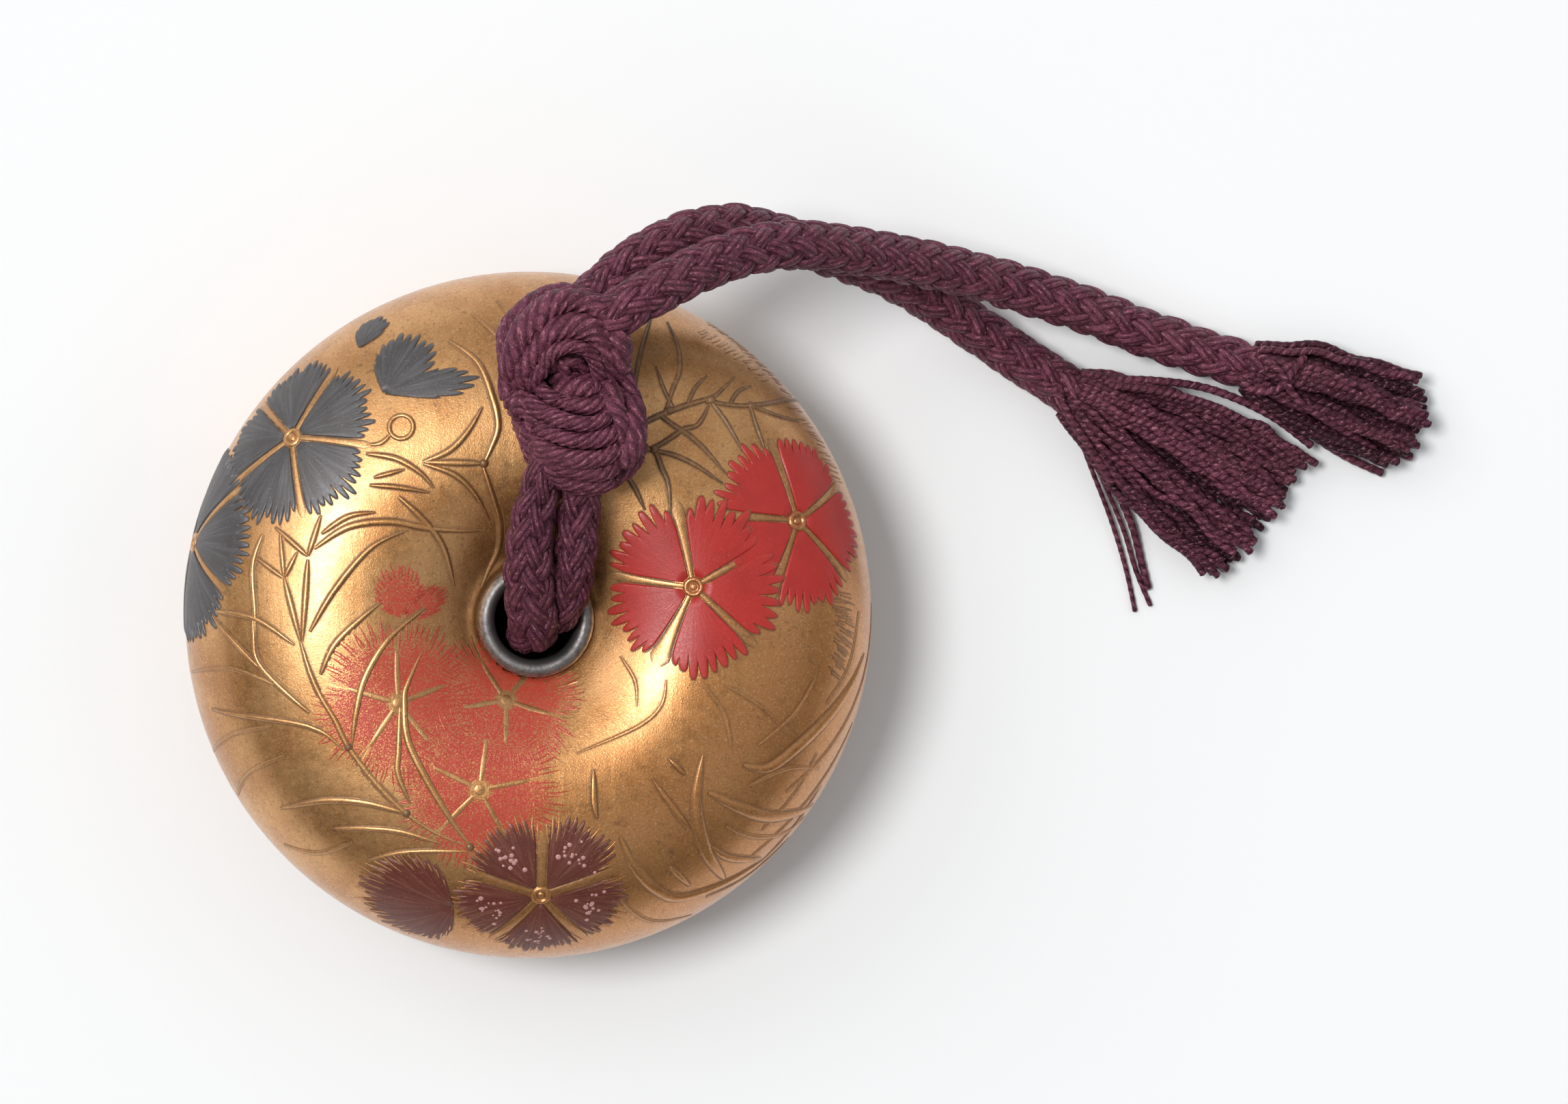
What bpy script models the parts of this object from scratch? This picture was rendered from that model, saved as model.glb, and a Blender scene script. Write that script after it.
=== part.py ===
"""A kagamibuta netsuke lying mouth down: a hollow lacquered bowl with a metal-lined cord hole in its
back, a metal lid in its mouth, and a braided silk cord. The cord goes down through the hole, round
the staple on the lid's back and up again, is knotted on the bowl, and ends in two tassels.
Metres, +Z up. The origin lies under the bowl's centre, on the surface that it rests on."""

import math

import bmesh
import bpy
from mathutils import Matrix, Vector

MM = 0.001
GAP = 0.3 * MM

# Bowl
BODY_RADIUS = 22.5 * MM
WIDEST_HEIGHT = 10.0 * MM
CREST_RADIUS = 11.2 * MM
CREST_HEIGHT = 19.0 * MM
DIMPLE_DEPTH = 2.8 * MM
FOOT_RADIUS = 18.0 * MM
WALL = 2.8 * MM
HOLLOW_RADIUS = 19.3 * MM
LEDGE_RADIUS = 14.8 * MM
LEDGE_TOP = 3.0 * MM

# Eyelet
EYELET_RADIUS = 3.77 * MM
EYELET_BORE = 2.65 * MM
EYELET_TUBE = 3.1 * MM
EYELET_RIM = 0.65 * MM
FLANGE_RADIUS = 3.6 * MM
FLANGE = 0.5 * MM

# Lid
LID_RADIUS = 16.1 * MM
LID_LIFT = 0.2 * MM
LID_THICKNESS = 1.3 * MM
LID_CHAMFER = 0.3 * MM
STAPLE_WIRE = 0.6 * MM
STAPLE_RADIUS = 2.55 * MM
STAPLE_TOP = 6.0 * MM

# Cord
CORD_RADIUS = 1.65 * MM
LEG_RADIUS = 1.42 * MM
NARROW_RADIUS = 1.08 * MM
HOLE_LEG_OFFSET = 1.21 * MM
LOOP_RADIUS = 3.4 * MM
LOOP_AZIMUTH = math.radians(60)
SIDES_RESOLUTION = 2

# Worked out from the sizes above
SEAT_HEIGHT = CREST_HEIGHT - DIMPLE_DEPTH
HOLE_RADIUS = EYELET_TUBE + GAP
LID_TOP = LID_LIFT + LID_THICKNESS
LEDGE_BOTTOM = LID_TOP + GAP
MOUTH_RADIUS = LID_RADIUS + GAP
LOOP_CENTRE_HEIGHT = LID_TOP + GAP + CORD_RADIUS + LOOP_RADIUS

# The free tails, from the knot to the tassel's neck: centre points in millimetres.
FRONT_TAIL = [
    (5.6, 20.4, 23.5),
    (7.6, 21.5, 22.9),
    (9.9, 22.6, 21.7),
    (12.3, 23.5, 20.3),
    (15.4, 24.2, 18.1),
    (18.3, 24.2, 15.8),
    (20.6, 23.9, 13.9),
    (23.9, 23.4, 11.2),
    (27.5, 22.7, 8.6),
    (30.4, 22.0, 6.8),
    (33.3, 21.2, 5.3),
    (36.3, 20.3, 4.1),
    (40.4, 18.8, 2.9),
    (44.5, 17.4, 2.2),
    (47.9, 16.3, 1.9),
]
REAR_TAIL = [
    (4.3, 21.6, 20.0),
    (6.2, 23.1, 19.3),
    (8.5, 24.4, 18.2),
    (11.2, 25.2, 16.4),
    (13.4, 25.3, 14.7),
    (15.9, 24.8, 12.6),
    (18.4, 24.1, 10.5),
    (20.6, 23.5, 8.8),
    (22.9, 22.7, 7.1),
    (25.2, 21.7, 5.5),
    (27.2, 20.6, 4.3),
    (29.2, 19.3, 3.3),
    (31.1, 18.1, 2.6),
    (33.3, 16.6, 2.1),
    (36.0, 14.9, 1.8),
]
# The two legs between the knot and the hole: centre points in millimetres, and each one's radius.
FRONT_LEG = [
    (-0.2, 8.3, 22.4, LEG_RADIUS),
    (-0.5, 6.9, 22.0, LEG_RADIUS),
    (-0.65, 5.6, 21.4, LEG_RADIUS),
    (-0.7, 4.2, 20.7, LEG_RADIUS),
    (-0.6, 2.8, 19.9, 1.25 * MM),
    (-0.5, 1.2, 18.9, 1.15 * MM),
    (-0.5, -0.3, 17.7, NARROW_RADIUS),
    (-0.6, -0.95, 16.2, NARROW_RADIUS),
]
REAR_LEG = [
    (0.65, 1.1, 16.2, NARROW_RADIUS),
    (0.75, 1.2, 17.2, NARROW_RADIUS),
    (1.7, 1.8, 18.5, 1.15 * MM),
    (2.2, 3.0, 19.4, 1.25 * MM),
    (2.4, 4.4, 20.1, LEG_RADIUS),
    (2.5, 5.9, 20.7, LEG_RADIUS),
    (2.6, 7.8, 21.2, LEG_RADIUS),
]
# The knot's two lobes: centre, half sizes along X, Y and Z in millimetres.
KNOT_LOBES = [
    ((1.5, 17.8, 21.9), (4.3, 3.9, 3.6)),
    ((2.9, 12.0, 23.0), (3.8, 3.8, 3.6)),
]
# A tassel's sections: centre point, half width and half thickness in millimetres.
FRONT_TASSEL = [
    ((48.5, 16.1, 1.9), 1.7, 1.6),
    ((50.6, 15.4, 2.2), 2.6, 1.9),
    ((52.6, 14.8, 2.3), 3.2, 2.0),
    ((55.2, 13.8, 2.2), 3.5, 1.9),
    ((57.6, 12.9, 2.1), 3.6, 1.8),
    ((59.8, 12.1, 2.0), 3.4, 1.6),
]
REAR_TASSEL = [
    ((36.6, 14.4, 1.8), 1.8, 1.6),
    ((38.2, 13.3, 1.9), 2.6, 1.7),
    ((40.0, 12.0, 1.9), 3.5, 1.7),
    ((42.7, 9.9, 1.8), 4.5, 1.6),
    ((45.9, 7.4, 1.7), 5.4, 1.5),
    ((49.7, 4.9, 1.6), 5.6, 1.3),
]


def clear_scene():
    for old in list(bpy.data.objects):
        bpy.data.objects.remove(old, do_unlink=True)


def collection(name):
    made = bpy.data.collections.new(name)
    bpy.context.scene.collection.children.link(made)
    return made


def material(name, colour, roughness, metallic):
    made = bpy.data.materials.new(name)
    made.use_nodes = True
    shader = made.node_tree.nodes["Principled BSDF"]
    shader.inputs["Base Color"].default_value = (*colour, 1.0)
    shader.inputs["Roughness"].default_value = roughness
    shader.inputs["Metallic"].default_value = metallic
    made.diffuse_color = (*colour, 1.0)
    return made


def add(name, data, finish, home):
    made = bpy.data.objects.new(name, data)
    made.data.materials.append(finish)
    home.objects.link(made)
    return made


def ellipse(centre_r, centre_z, half_r, half_z, start, end, count):
    """(radius, height) points on an ellipse, from one angle to another in degrees."""
    points = []
    for i in range(count):
        angle = math.radians(start + (end - start) * i / (count - 1))
        point = (centre_r + half_r * math.cos(angle), centre_z + half_z * math.sin(angle))
        points.append(point)
    return points


def dimple(inner_radius, depth, top, count):
    """(radius, height) points from the dimple's inner edge up to the crest, on a parabola."""
    points = []
    for i in range(count):
        radius = inner_radius + (CREST_RADIUS - inner_radius) * i / (count - 1)
        drop = (CREST_RADIUS - radius) / (CREST_RADIUS - inner_radius)
        points.append((radius, top - depth * drop * drop))
    return points


def turned(name, profile, closed, steps, finish, home):
    """A turned piece. Its profile runs out over the top, down the outside and back underneath."""
    mesh = bpy.data.meshes.new(name)
    last = len(profile) if closed else len(profile) - 1
    edges = [(i, (i + 1) % len(profile)) for i in range(last)]
    mesh.from_pydata([(radius, 0.0, height) for radius, height in profile], edges, [])
    piece = add(name, mesh, finish, home)
    screw = piece.modifiers.new("Turn", "SCREW")
    screw.steps = steps
    screw.render_steps = steps
    screw.use_merge_vertices = True
    screw.merge_threshold = 0.00001
    screw.use_smooth_shade = True
    return piece


def bowl_profile():
    seat = [(HOLE_RADIUS, SEAT_HEIGHT)]
    back = dimple(EYELET_RADIUS, DIMPLE_DEPTH, CREST_HEIGHT, 7)
    shoulder = ellipse(
        CREST_RADIUS,
        WIDEST_HEIGHT,
        BODY_RADIUS - CREST_RADIUS,
        CREST_HEIGHT - WIDEST_HEIGHT,
        90,
        0,
        12,
    )
    side = ellipse(
        FOOT_RADIUS, WIDEST_HEIGHT, BODY_RADIUS - FOOT_RADIUS, WIDEST_HEIGHT, 0, -90, 8
    )
    mouth = [
        (MOUTH_RADIUS, 0.0),
        (MOUTH_RADIUS, LEDGE_BOTTOM),
        (LEDGE_RADIUS, LEDGE_BOTTOM),
    ]
    ceiling = CREST_HEIGHT - WALL
    lower_hollow = ellipse(
        LEDGE_RADIUS,
        WIDEST_HEIGHT,
        HOLLOW_RADIUS - LEDGE_RADIUS,
        WIDEST_HEIGHT - LEDGE_TOP,
        -90,
        0,
        6,
    )
    upper_hollow = ellipse(
        CREST_RADIUS,
        WIDEST_HEIGHT,
        HOLLOW_RADIUS - CREST_RADIUS,
        ceiling - WIDEST_HEIGHT,
        0,
        90,
        8,
    )
    under_dimple = dimple(HOLE_RADIUS, DIMPLE_DEPTH - 0.2 * MM, ceiling, 5)[::-1]
    return (
        seat
        + back
        + shoulder[1:]
        + side[1:]
        + mouth
        + lower_hollow
        + upper_hollow[1:]
        + under_dimple[1:]
    )


def eyelet_profile():
    rim_bottom = SEAT_HEIGHT + GAP
    middle = (EYELET_RADIUS + EYELET_BORE) / 2
    half_width = (EYELET_RADIUS - EYELET_BORE) / 2
    rim = ellipse(middle, rim_bottom, half_width, EYELET_RIM, 90, 0, 5)
    flange_top = CREST_HEIGHT - WALL - (DIMPLE_DEPTH - 0.2 * MM) - GAP
    tube = [
        (EYELET_TUBE, rim_bottom),
        (EYELET_TUBE, flange_top),
        (FLANGE_RADIUS, flange_top),
        (FLANGE_RADIUS, flange_top - FLANGE),
        (EYELET_BORE, flange_top - FLANGE),
    ]
    inner_rim = ellipse(middle, rim_bottom, half_width, EYELET_RIM, 180, 90, 5)
    return rim + tube + inner_rim[:-1]


def lid_profile():
    edge = LID_RADIUS - LID_CHAMFER
    return [
        (0.0, LID_TOP),
        (edge, LID_TOP),
        (LID_RADIUS, LID_TOP - LID_CHAMFER),
        (LID_RADIUS, LID_LIFT + LID_CHAMFER),
        (edge, LID_LIFT),
        (0.0, LID_LIFT),
    ]


def along_loop(offset, height):
    """A point in the upright plane that the cord's hidden loop lies in."""
    across = Vector((math.cos(LOOP_AZIMUTH), math.sin(LOOP_AZIMUTH), 0.0))
    return across * offset + Vector((0.0, 0.0, height))


def smooth_route(points, spacing):
    """A smooth curve through the points, read at about equal distances. A point is a Vector and a radius."""
    fine = []
    for i in range(len(points) - 1):
        before = points[max(i - 1, 0)]
        start, end = points[i], points[i + 1]
        after = points[min(i + 2, len(points) - 1)]
        for step in range(16):
            t = step / 16
            place = 0.5 * (
                2 * start[0]
                + (end[0] - before[0]) * t
                + (2 * before[0] - 5 * start[0] + 4 * end[0] - after[0]) * t**2
                + (3 * start[0] - before[0] - 3 * end[0] + after[0]) * t**3
            )
            fine.append((place, start[1] + (end[1] - start[1]) * t))
    fine.append(points[-1])
    length = sum((b[0] - a[0]).length for a, b in zip(fine, fine[1:]))
    pieces = round(length / spacing)
    route = [fine[0]]
    walked = 0.0
    for a, b in zip(fine, fine[1:]):
        walked += (b[0] - a[0]).length
        if walked >= len(route) * length / pieces and len(route) < pieces:
            route.append(b)
    route.append(fine[-1])
    return route


def tube(name, points, spacing, finish, home):
    """A round tube along a smooth curve through the points, each a Vector and a radius."""
    route = smooth_route(points, spacing)
    curve = bpy.data.curves.new(name, "CURVE")
    curve.dimensions = "3D"
    curve.bevel_depth = CORD_RADIUS
    curve.bevel_resolution = SIDES_RESOLUTION
    curve.use_fill_caps = True
    line = curve.splines.new("POLY")
    line.points.add(len(route) - 1)
    for point, (place, radius) in zip(line.points, route):
        point.co = (*place, 1.0)
        point.radius = radius / CORD_RADIUS
    line.use_smooth = True
    return add(name, curve, finish, home)


def as_mesh(piece):
    """Turns a curve object into a mesh object with its caps welded, so that a Boolean can use it."""
    graph = bpy.context.evaluated_depsgraph_get()
    mesh = bpy.data.meshes.new_from_object(piece.evaluated_get(graph))
    work = bmesh.new()
    work.from_mesh(mesh)
    bmesh.ops.remove_doubles(work, verts=work.verts, dist=0.000001)
    work.to_mesh(mesh)
    work.free()
    name = piece.name
    home = piece.users_collection[0]
    place = piece.matrix_world.copy()
    bpy.data.objects.remove(piece, do_unlink=True)
    made = bpy.data.objects.new(name, mesh)
    made.matrix_world = place
    home.objects.link(made)
    return made


def unite(piece, other):
    """Joins a helper to a piece with a Boolean, and hides the helper."""
    union = piece.modifiers.new("Join", "BOOLEAN")
    union.operation = "UNION"
    union.solver = "EXACT"
    union.object = other
    other.hide_render = True
    other.display_type = "WIRE"


def make_bowl(home):
    gold = material("gold_lacquer", (0.58, 0.36, 0.12), 0.34, 0.75)
    return turned("bowl", bowl_profile(), True, 60, gold, home)


def make_eyelet(home):
    grey = material("eyelet_metal", (0.16, 0.16, 0.165), 0.38, 0.9)
    return turned("eyelet", eyelet_profile(), True, 40, grey, home)


def make_lid(home, helpers):
    """The disc, with the wire staple that stands on its back."""
    bronze = material("lid_metal", (0.23, 0.21, 0.19), 0.3, 0.95)
    lid = turned("lid", lid_profile(), False, 60, bronze, home)
    arch_height = STAPLE_TOP - STAPLE_RADIUS
    buried = LID_TOP - 0.6 * MM
    points = [(STAPLE_RADIUS, buried), (STAPLE_RADIUS, arch_height)]
    points += ellipse(0.0, arch_height, STAPLE_RADIUS, STAPLE_RADIUS, 20, 160, 8)
    points += [(-STAPLE_RADIUS, arch_height), (-STAPLE_RADIUS, buried)]
    across = Matrix.Rotation(LOOP_AZIMUTH + math.pi / 2, 3, "Z")
    route = [(across @ Vector((x, 0.0, z)), STAPLE_WIRE) for x, z in points]
    staple = as_mesh(tube("staple", route, 0.9 * MM, bronze, helpers))
    unite(lid, staple)
    return lid


def loop_points():
    """The cord's path from the knot down the front leg, round the staple and up the rear leg."""
    down = [(Vector(p[:3]) * MM, p[3]) for p in FRONT_LEG]
    up = [(Vector(p[:3]) * MM, p[3]) for p in REAR_LEG]
    inside = [
        (HOLE_LEG_OFFSET, 14.9 * MM, NARROW_RADIUS),
        (HOLE_LEG_OFFSET, 13.4 * MM, NARROW_RADIUS),
        (1.5 * MM, 12.0 * MM, 1.2 * MM),
        (2.35 * MM, 10.4 * MM, 1.5 * MM),
        (3.2 * MM, 8.7 * MM, CORD_RADIUS),
    ]
    for angle in (0, 35, 65):
        offset = LOOP_RADIUS * math.cos(math.radians(angle))
        height = LOOP_CENTRE_HEIGHT - LOOP_RADIUS * math.sin(math.radians(angle))
        inside.append((offset, height, CORD_RADIUS))
    going_down = [(along_loop(-offset, height), radius) for offset, height, radius in inside]
    bottom = [(along_loop(0.0, LOOP_CENTRE_HEIGHT - LOOP_RADIUS), CORD_RADIUS)]
    going_up = [(along_loop(offset, height), radius) for offset, height, radius in inside[::-1]]
    return down + going_down + bottom + going_up + up


def make_knot(silk, home, helpers):
    """The knot's outer shape: two round lobes that run into each other."""
    lobes = []
    for i, (centre, half_sizes) in enumerate(KNOT_LOBES):
        mesh = bpy.data.meshes.new(f"lobe_{i}")
        work = bmesh.new()
        bmesh.ops.create_uvsphere(work, u_segments=24, v_segments=14, radius=1.0)
        bmesh.ops.scale(work, vec=Vector(half_sizes) * MM, verts=work.verts)
        bmesh.ops.translate(work, vec=Vector(centre) * MM, verts=work.verts)
        work.to_mesh(mesh)
        work.free()
        mesh.shade_smooth()
        lobes.append(mesh)
    knot = add("cord_knot", lobes[0], silk, home)
    second = add("knot_lower_lobe", lobes[1], silk, helpers)
    unite(knot, second)
    return knot


def make_tassel(name, sections, silk, home):
    """A bundle of loose yarns as one closed form, lofted through flattened round sections."""
    around = 16
    mesh = bpy.data.meshes.new(name)
    work = bmesh.new()
    rings = []
    for i, (centre, half_width, half_thickness) in enumerate(sections):
        before = Vector(sections[max(i - 1, 0)][0])
        after = Vector(sections[min(i + 1, len(sections) - 1)][0])
        forward = (after - before).normalized()
        side = forward.cross(Vector((0.0, 0.0, 1.0))).normalized()
        up = side.cross(forward)
        ring = []
        for step in range(around):
            angle = 2 * math.pi * step / around
            offset = side * (half_width * math.cos(angle)) + up * (half_thickness * math.sin(angle))
            ring.append(work.verts.new((Vector(centre) + offset) * MM))
        rings.append(ring)
    for ring, following in zip(rings, rings[1:]):
        for step in range(around):
            turn = (step + 1) % around
            work.faces.new((ring[step], ring[turn], following[turn], following[step]))
    work.faces.new(rings[0][::-1])
    work.faces.new(rings[-1])
    bmesh.ops.recalc_face_normals(work, faces=work.faces)
    work.to_mesh(mesh)
    work.free()
    mesh.shade_smooth()
    return add(name, mesh, silk, home)


def make_cord(home, helpers):
    silk = material("purple_silk", (0.10, 0.035, 0.075), 0.6, 0.0)
    spacing = 2 * CORD_RADIUS
    tube("cord_loop", loop_points(), 0.55 * spacing, silk, home)
    make_knot(silk, home, helpers)
    for name, route in (("cord_tail_front", FRONT_TAIL), ("cord_tail_rear", REAR_TAIL)):
        tube(name, [(Vector(p) * MM, CORD_RADIUS) for p in route], spacing, silk, home)
    make_tassel("tassel_front", FRONT_TASSEL, silk, home)
    make_tassel("tassel_rear", REAR_TASSEL, silk, home)


def main():
    clear_scene()
    home = collection("kagamibuta_netsuke")
    helpers = collection("helpers")
    make_bowl(home)
    make_eyelet(home)
    make_lid(home, helpers)
    make_cord(home, helpers)


main()
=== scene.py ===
"""The looks of a kagamibuta netsuke that lies mouth down, with its knotted silk cord beside it.

The lacquered bowl, its flowers and grasses, the eyelet, the lid, the braided cord, the knot and the
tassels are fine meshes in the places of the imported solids. Lengths are in millimetres until a mesh
is made, and a mesh is in metres."""

import math

import bpy
import numpy as np
from mathutils.kdtree import KDTree
from mathutils import Matrix, Vector


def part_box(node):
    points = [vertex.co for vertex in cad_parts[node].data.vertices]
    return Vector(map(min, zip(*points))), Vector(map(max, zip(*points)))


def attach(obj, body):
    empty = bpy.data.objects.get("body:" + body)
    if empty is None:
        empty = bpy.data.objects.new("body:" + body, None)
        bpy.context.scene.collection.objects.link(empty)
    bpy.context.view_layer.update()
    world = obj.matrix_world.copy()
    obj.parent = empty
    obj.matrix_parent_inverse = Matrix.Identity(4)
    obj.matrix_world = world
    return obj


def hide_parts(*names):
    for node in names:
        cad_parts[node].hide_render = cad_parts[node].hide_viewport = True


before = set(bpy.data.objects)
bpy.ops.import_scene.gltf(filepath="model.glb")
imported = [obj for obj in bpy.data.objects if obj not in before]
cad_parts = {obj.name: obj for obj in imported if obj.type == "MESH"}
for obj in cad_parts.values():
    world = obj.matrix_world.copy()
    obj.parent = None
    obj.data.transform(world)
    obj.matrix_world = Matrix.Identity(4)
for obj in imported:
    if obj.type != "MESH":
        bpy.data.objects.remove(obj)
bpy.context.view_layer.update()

MM = 0.001
TURN = 2 * math.pi

# The bowl, the eyelet and the lid: outer sizes from the frame, the rest as the solids have them.
BODY_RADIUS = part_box("bowl")[1].x / MM
CREST_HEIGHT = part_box("bowl")[1].z / MM
EYELET_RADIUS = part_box("eyelet")[1].x / MM
LID_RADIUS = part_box("lid")[1].x / MM
LID_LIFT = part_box("lid")[0].z / MM
WIDEST_HEIGHT = 10.0
CREST_RADIUS = 11.2
DIMPLE_DEPTH = 2.8
INNER_DIMPLE_DEPTH = DIMPLE_DEPTH - 0.2
FOOT_RADIUS = 18.0
WALL = 2.8
CEILING_HEIGHT = CREST_HEIGHT - WALL
HOLLOW_RADIUS = 19.3
LEDGE_RADIUS = 14.8
LEDGE_TOP = 3.0
GAP = 0.3
EYELET_BORE = 2.65
EYELET_TUBE = 3.1
EYELET_RIM = 0.65
FLANGE_RADIUS = 3.6
FLANGE = 0.5
LID_THICKNESS = 1.3
LID_CHAMFER = 0.3
STAPLE_WIRE = 0.6
STAPLE_RADIUS = 2.55
STAPLE_TOP = 6.0
STAPLE_ROOT = 0.6
SEAT_HEIGHT = CREST_HEIGHT - DIMPLE_DEPTH
HOLE_RADIUS = EYELET_TUBE + GAP
LID_TOP = LID_LIFT + LID_THICKNESS
LEDGE_BOTTOM = LID_TOP + GAP
MOUTH_RADIUS = LID_RADIUS + GAP

# The cord
CORD_RADIUS = 1.65
HOLE_LEG_OFFSET = 1.21
LOOP_RADIUS = 3.4
LOOP_AZIMUTH = math.radians(60)
LOOP_CENTRE_HEIGHT = LID_TOP + GAP + CORD_RADIUS + LOOP_RADIUS

# The free tails' routes. Their first points are hidden in the knot, their last in the tassels.
FRONT_TAIL = [
    (3.6, 19, 23.2),
    (5.6, 20.4, 23.5), (7.6, 21.5, 22.9), (9.9, 22.6, 21.7), (12.3, 23.5, 20.3), (15.4, 24.2, 18.1),
    (18.3, 24.2, 15.8), (20.6, 23.9, 13.9), (23.9, 23.4, 11.2), (27.5, 22.7, 8.6), (30.4, 22, 6.8),
    (33.3, 21.2, 5.3), (36.3, 20.3, 4.1), (40.4, 18.8, 2.9), (44.5, 17.4, 2.2), (47.9, 16.3, 1.9),
    (50, 15.6, 2.1),
]
REAR_TAIL = [
    (2.4, 20, 20.6),
    (4.3, 21.6, 20), (6.2, 23.1, 19.3), (8.5, 24.4, 18.2), (11.2, 25.2, 16.4), (13.4, 25.3, 14.7),
    (15.9, 24.8, 12.6), (18.4, 24.1, 10.5), (20.6, 23.5, 8.8), (22.9, 22.7, 7.1), (25.2, 21.7, 5.5),
    (27.2, 20.6, 4.3), (29.2, 19.3, 3.3), (31.1, 18.1, 2.6), (33.3, 16.6, 2.1), (36, 14.9, 1.8),
    (38, 13.5, 1.9),
]
# The legs from inside the knot to the hole: centre points and the cord's radius there. The soft cord is
# fuller here than the solid, so that the two legs touch.
FRONT_LEG = [
    (0.5, 11, 22.8, 1.2), (0.1, 9.7, 22.8, 1.25),
    (-0.2, 8.3, 22.4, 1.32), (-0.5, 6.9, 22, 1.45), (-0.65, 5.6, 21.4, 1.55), (-0.7, 4.2, 20.7, 1.66),
    (-0.6, 2.8, 19.9, 1.74), (-0.4, 1.2, 18.9, 1.80), (-0.1, -0.3, 17.7, 1.80), (-0.6, -0.95, 16.2, 1.35),
]
REAR_LEG = [
    (0.65, 1.1, 16.2, 1.25), (1.25, 0.3, 17.2, 1.40), (2, 1.6, 18.5, 1.38), (2.2, 3, 19.4, 1.44),
    (2.3, 4.4, 20.1, 1.50), (2.4, 5.9, 20.7, 1.52), (2.5, 7.8, 21.2, 1.52),
    (2.7, 10.2, 21.8, 1.4),
]
# The knot's two lobes, as the solid has them: centre and half sizes.
KNOT_LOBES = [((1.5, 17.8, 21.9), (4.3, 3.9, 3.6)), ((2.9, 12, 23), (3.8, 3.8, 3.6))]
# The tassels' sections: centre point, half width and half thickness.
FRONT_TASSEL = [
    (48.3, 16.2, 1.9, 1.7, 1.6), (50.6, 15.4, 2.2, 2.6, 1.9), (52.6, 14.8, 2.3, 3.2, 2),
    (55.2, 13.8, 2.2, 3.5, 1.9), (57.6, 12.9, 2.1, 3.6, 1.8), (61, 11.7, 1.9, 3.6, 1.6),
]
REAR_TASSEL = [
    (36.4, 14.6, 1.8, 1.7, 1.6), (38.3, 13.5, 1.9, 2.8, 1.7), (40.2, 12.3, 1.9, 3.8, 1.7),
    (42.6, 10.8, 1.8, 4.8, 1.6), (45.9, 8.5, 1.7, 5.8, 1.5), (50.6, 5.2, 1.5, 6.2, 1.3),
]


# ---------------------------------------------------------------- meshes


def put(name, data):
    """A new object in the scene."""
    made = bpy.data.objects.new(name, data)
    bpy.context.scene.collection.objects.link(made)
    return made


class Shape:
    """Collects grids of points into one mesh, with named values at its points."""

    def __init__(self, **common):
        self.common = common
        self.points = []
        self.faces = []
        self.values = []
        self.count = 0

    def grid(self, points, wrap=False, **values):
        """Adds rows x columns of points. wrap joins the last column to the first."""
        rows, columns = points.shape[:2]
        own = np.arange(rows * columns).reshape(rows, columns) + self.count
        beside = np.roll(own, -1, axis=1)
        last = columns if wrap else columns - 1
        quads = np.stack([own[:-1], beside[:-1], beside[1:], own[1:]], axis=-1)[:, :last]
        self.points.append(points.reshape(-1, 3))
        self.faces.append(quads.reshape(-1, 4))
        size = (rows, columns)
        values = {**self.common, **values}.items()
        self.values.append({name: np.broadcast_to(value, size).ravel() for name, value in values})
        self.count += rows * columns

    def piece(self, name, finish, slot, *nodes):
        """Makes the mesh, in metres, as a piece that rides on the one body."""
        mesh = bpy.data.meshes.new(name)
        mesh.from_pydata(np.concatenate(self.points) * MM, [], np.concatenate(self.faces))
        for value in sorted(self.values[0]):
            data = np.concatenate([values[value] for values in self.values])
            mesh.attributes.new(value, "FLOAT", "POINT").data.foreach_set("value", data.astype(np.float32))
        mesh.shade_smooth()
        mesh.materials.append(finish)
        made = put(name, mesh)
        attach(made, "root")
        if nodes:
            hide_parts(*nodes)
        return made


def smooth_line(points, step):
    """A smooth curve through the points, read at equal steps. Columns after the third go along."""
    points = np.asarray(points, float)
    before = np.vstack([points[:1], points[:-2]])[:, None]
    start = points[:-1, None]
    end = points[1:, None]
    after = np.vstack([points[2:], points[-1:]])[:, None]
    t = np.linspace(0, 1, 16, endpoint=False)[None, :, None]
    fine = 0.5 * (
        2 * start
        + (end - before) * t
        + (2 * before - 5 * start + 4 * end - after) * t**2
        + (3 * start - before - 3 * end + after) * t**3
    )
    fine = np.vstack([fine.reshape(-1, points.shape[1]), points[-1:]])
    along = distances(fine)
    wanted = np.linspace(0, along[-1], max(round(along[-1] / step), 2) + 1)
    return np.stack([np.interp(wanted, along, column) for column in fine.T], axis=1)


def distances(line):
    """How far along the line each of its points is."""
    steps = np.linalg.norm(np.diff(line[:, :3], axis=0), axis=1)
    return np.concatenate([[0.0], np.cumsum(steps)])


def circle(count):
    """Angles evenly round a full turn."""
    return np.linspace(0, TURN, count, endpoint=False)


def unit(vectors):
    return vectors / np.linalg.norm(vectors, axis=-1, keepdims=True)


def carried_frames(line, first=(0.0, 0.0, 1.0)):
    """Unit vectors along and across the line, carried along it without twisting."""
    forward = ahead(line)
    up = np.empty_like(forward)
    carried = np.asarray(first, float)
    for i, along in enumerate(forward):
        carried = carried - along * (carried @ along)
        carried = carried / np.linalg.norm(carried)
        up[i] = carried
    return forward, np.cross(forward, up), up


def ahead(line):
    """Unit vectors along the line."""
    return unit(np.gradient(line, axis=0))


def to_left(line):
    """Unit vectors to the left of a flat line."""
    return ahead(line)[:, ::-1] * (-1, 1)


def squared(line, outward):
    """Unit vectors across a line and outward from it, square to each other and to the line."""
    forward = ahead(line)
    across = unit(np.cross(forward, outward))
    return across, np.cross(across, forward)


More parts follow.
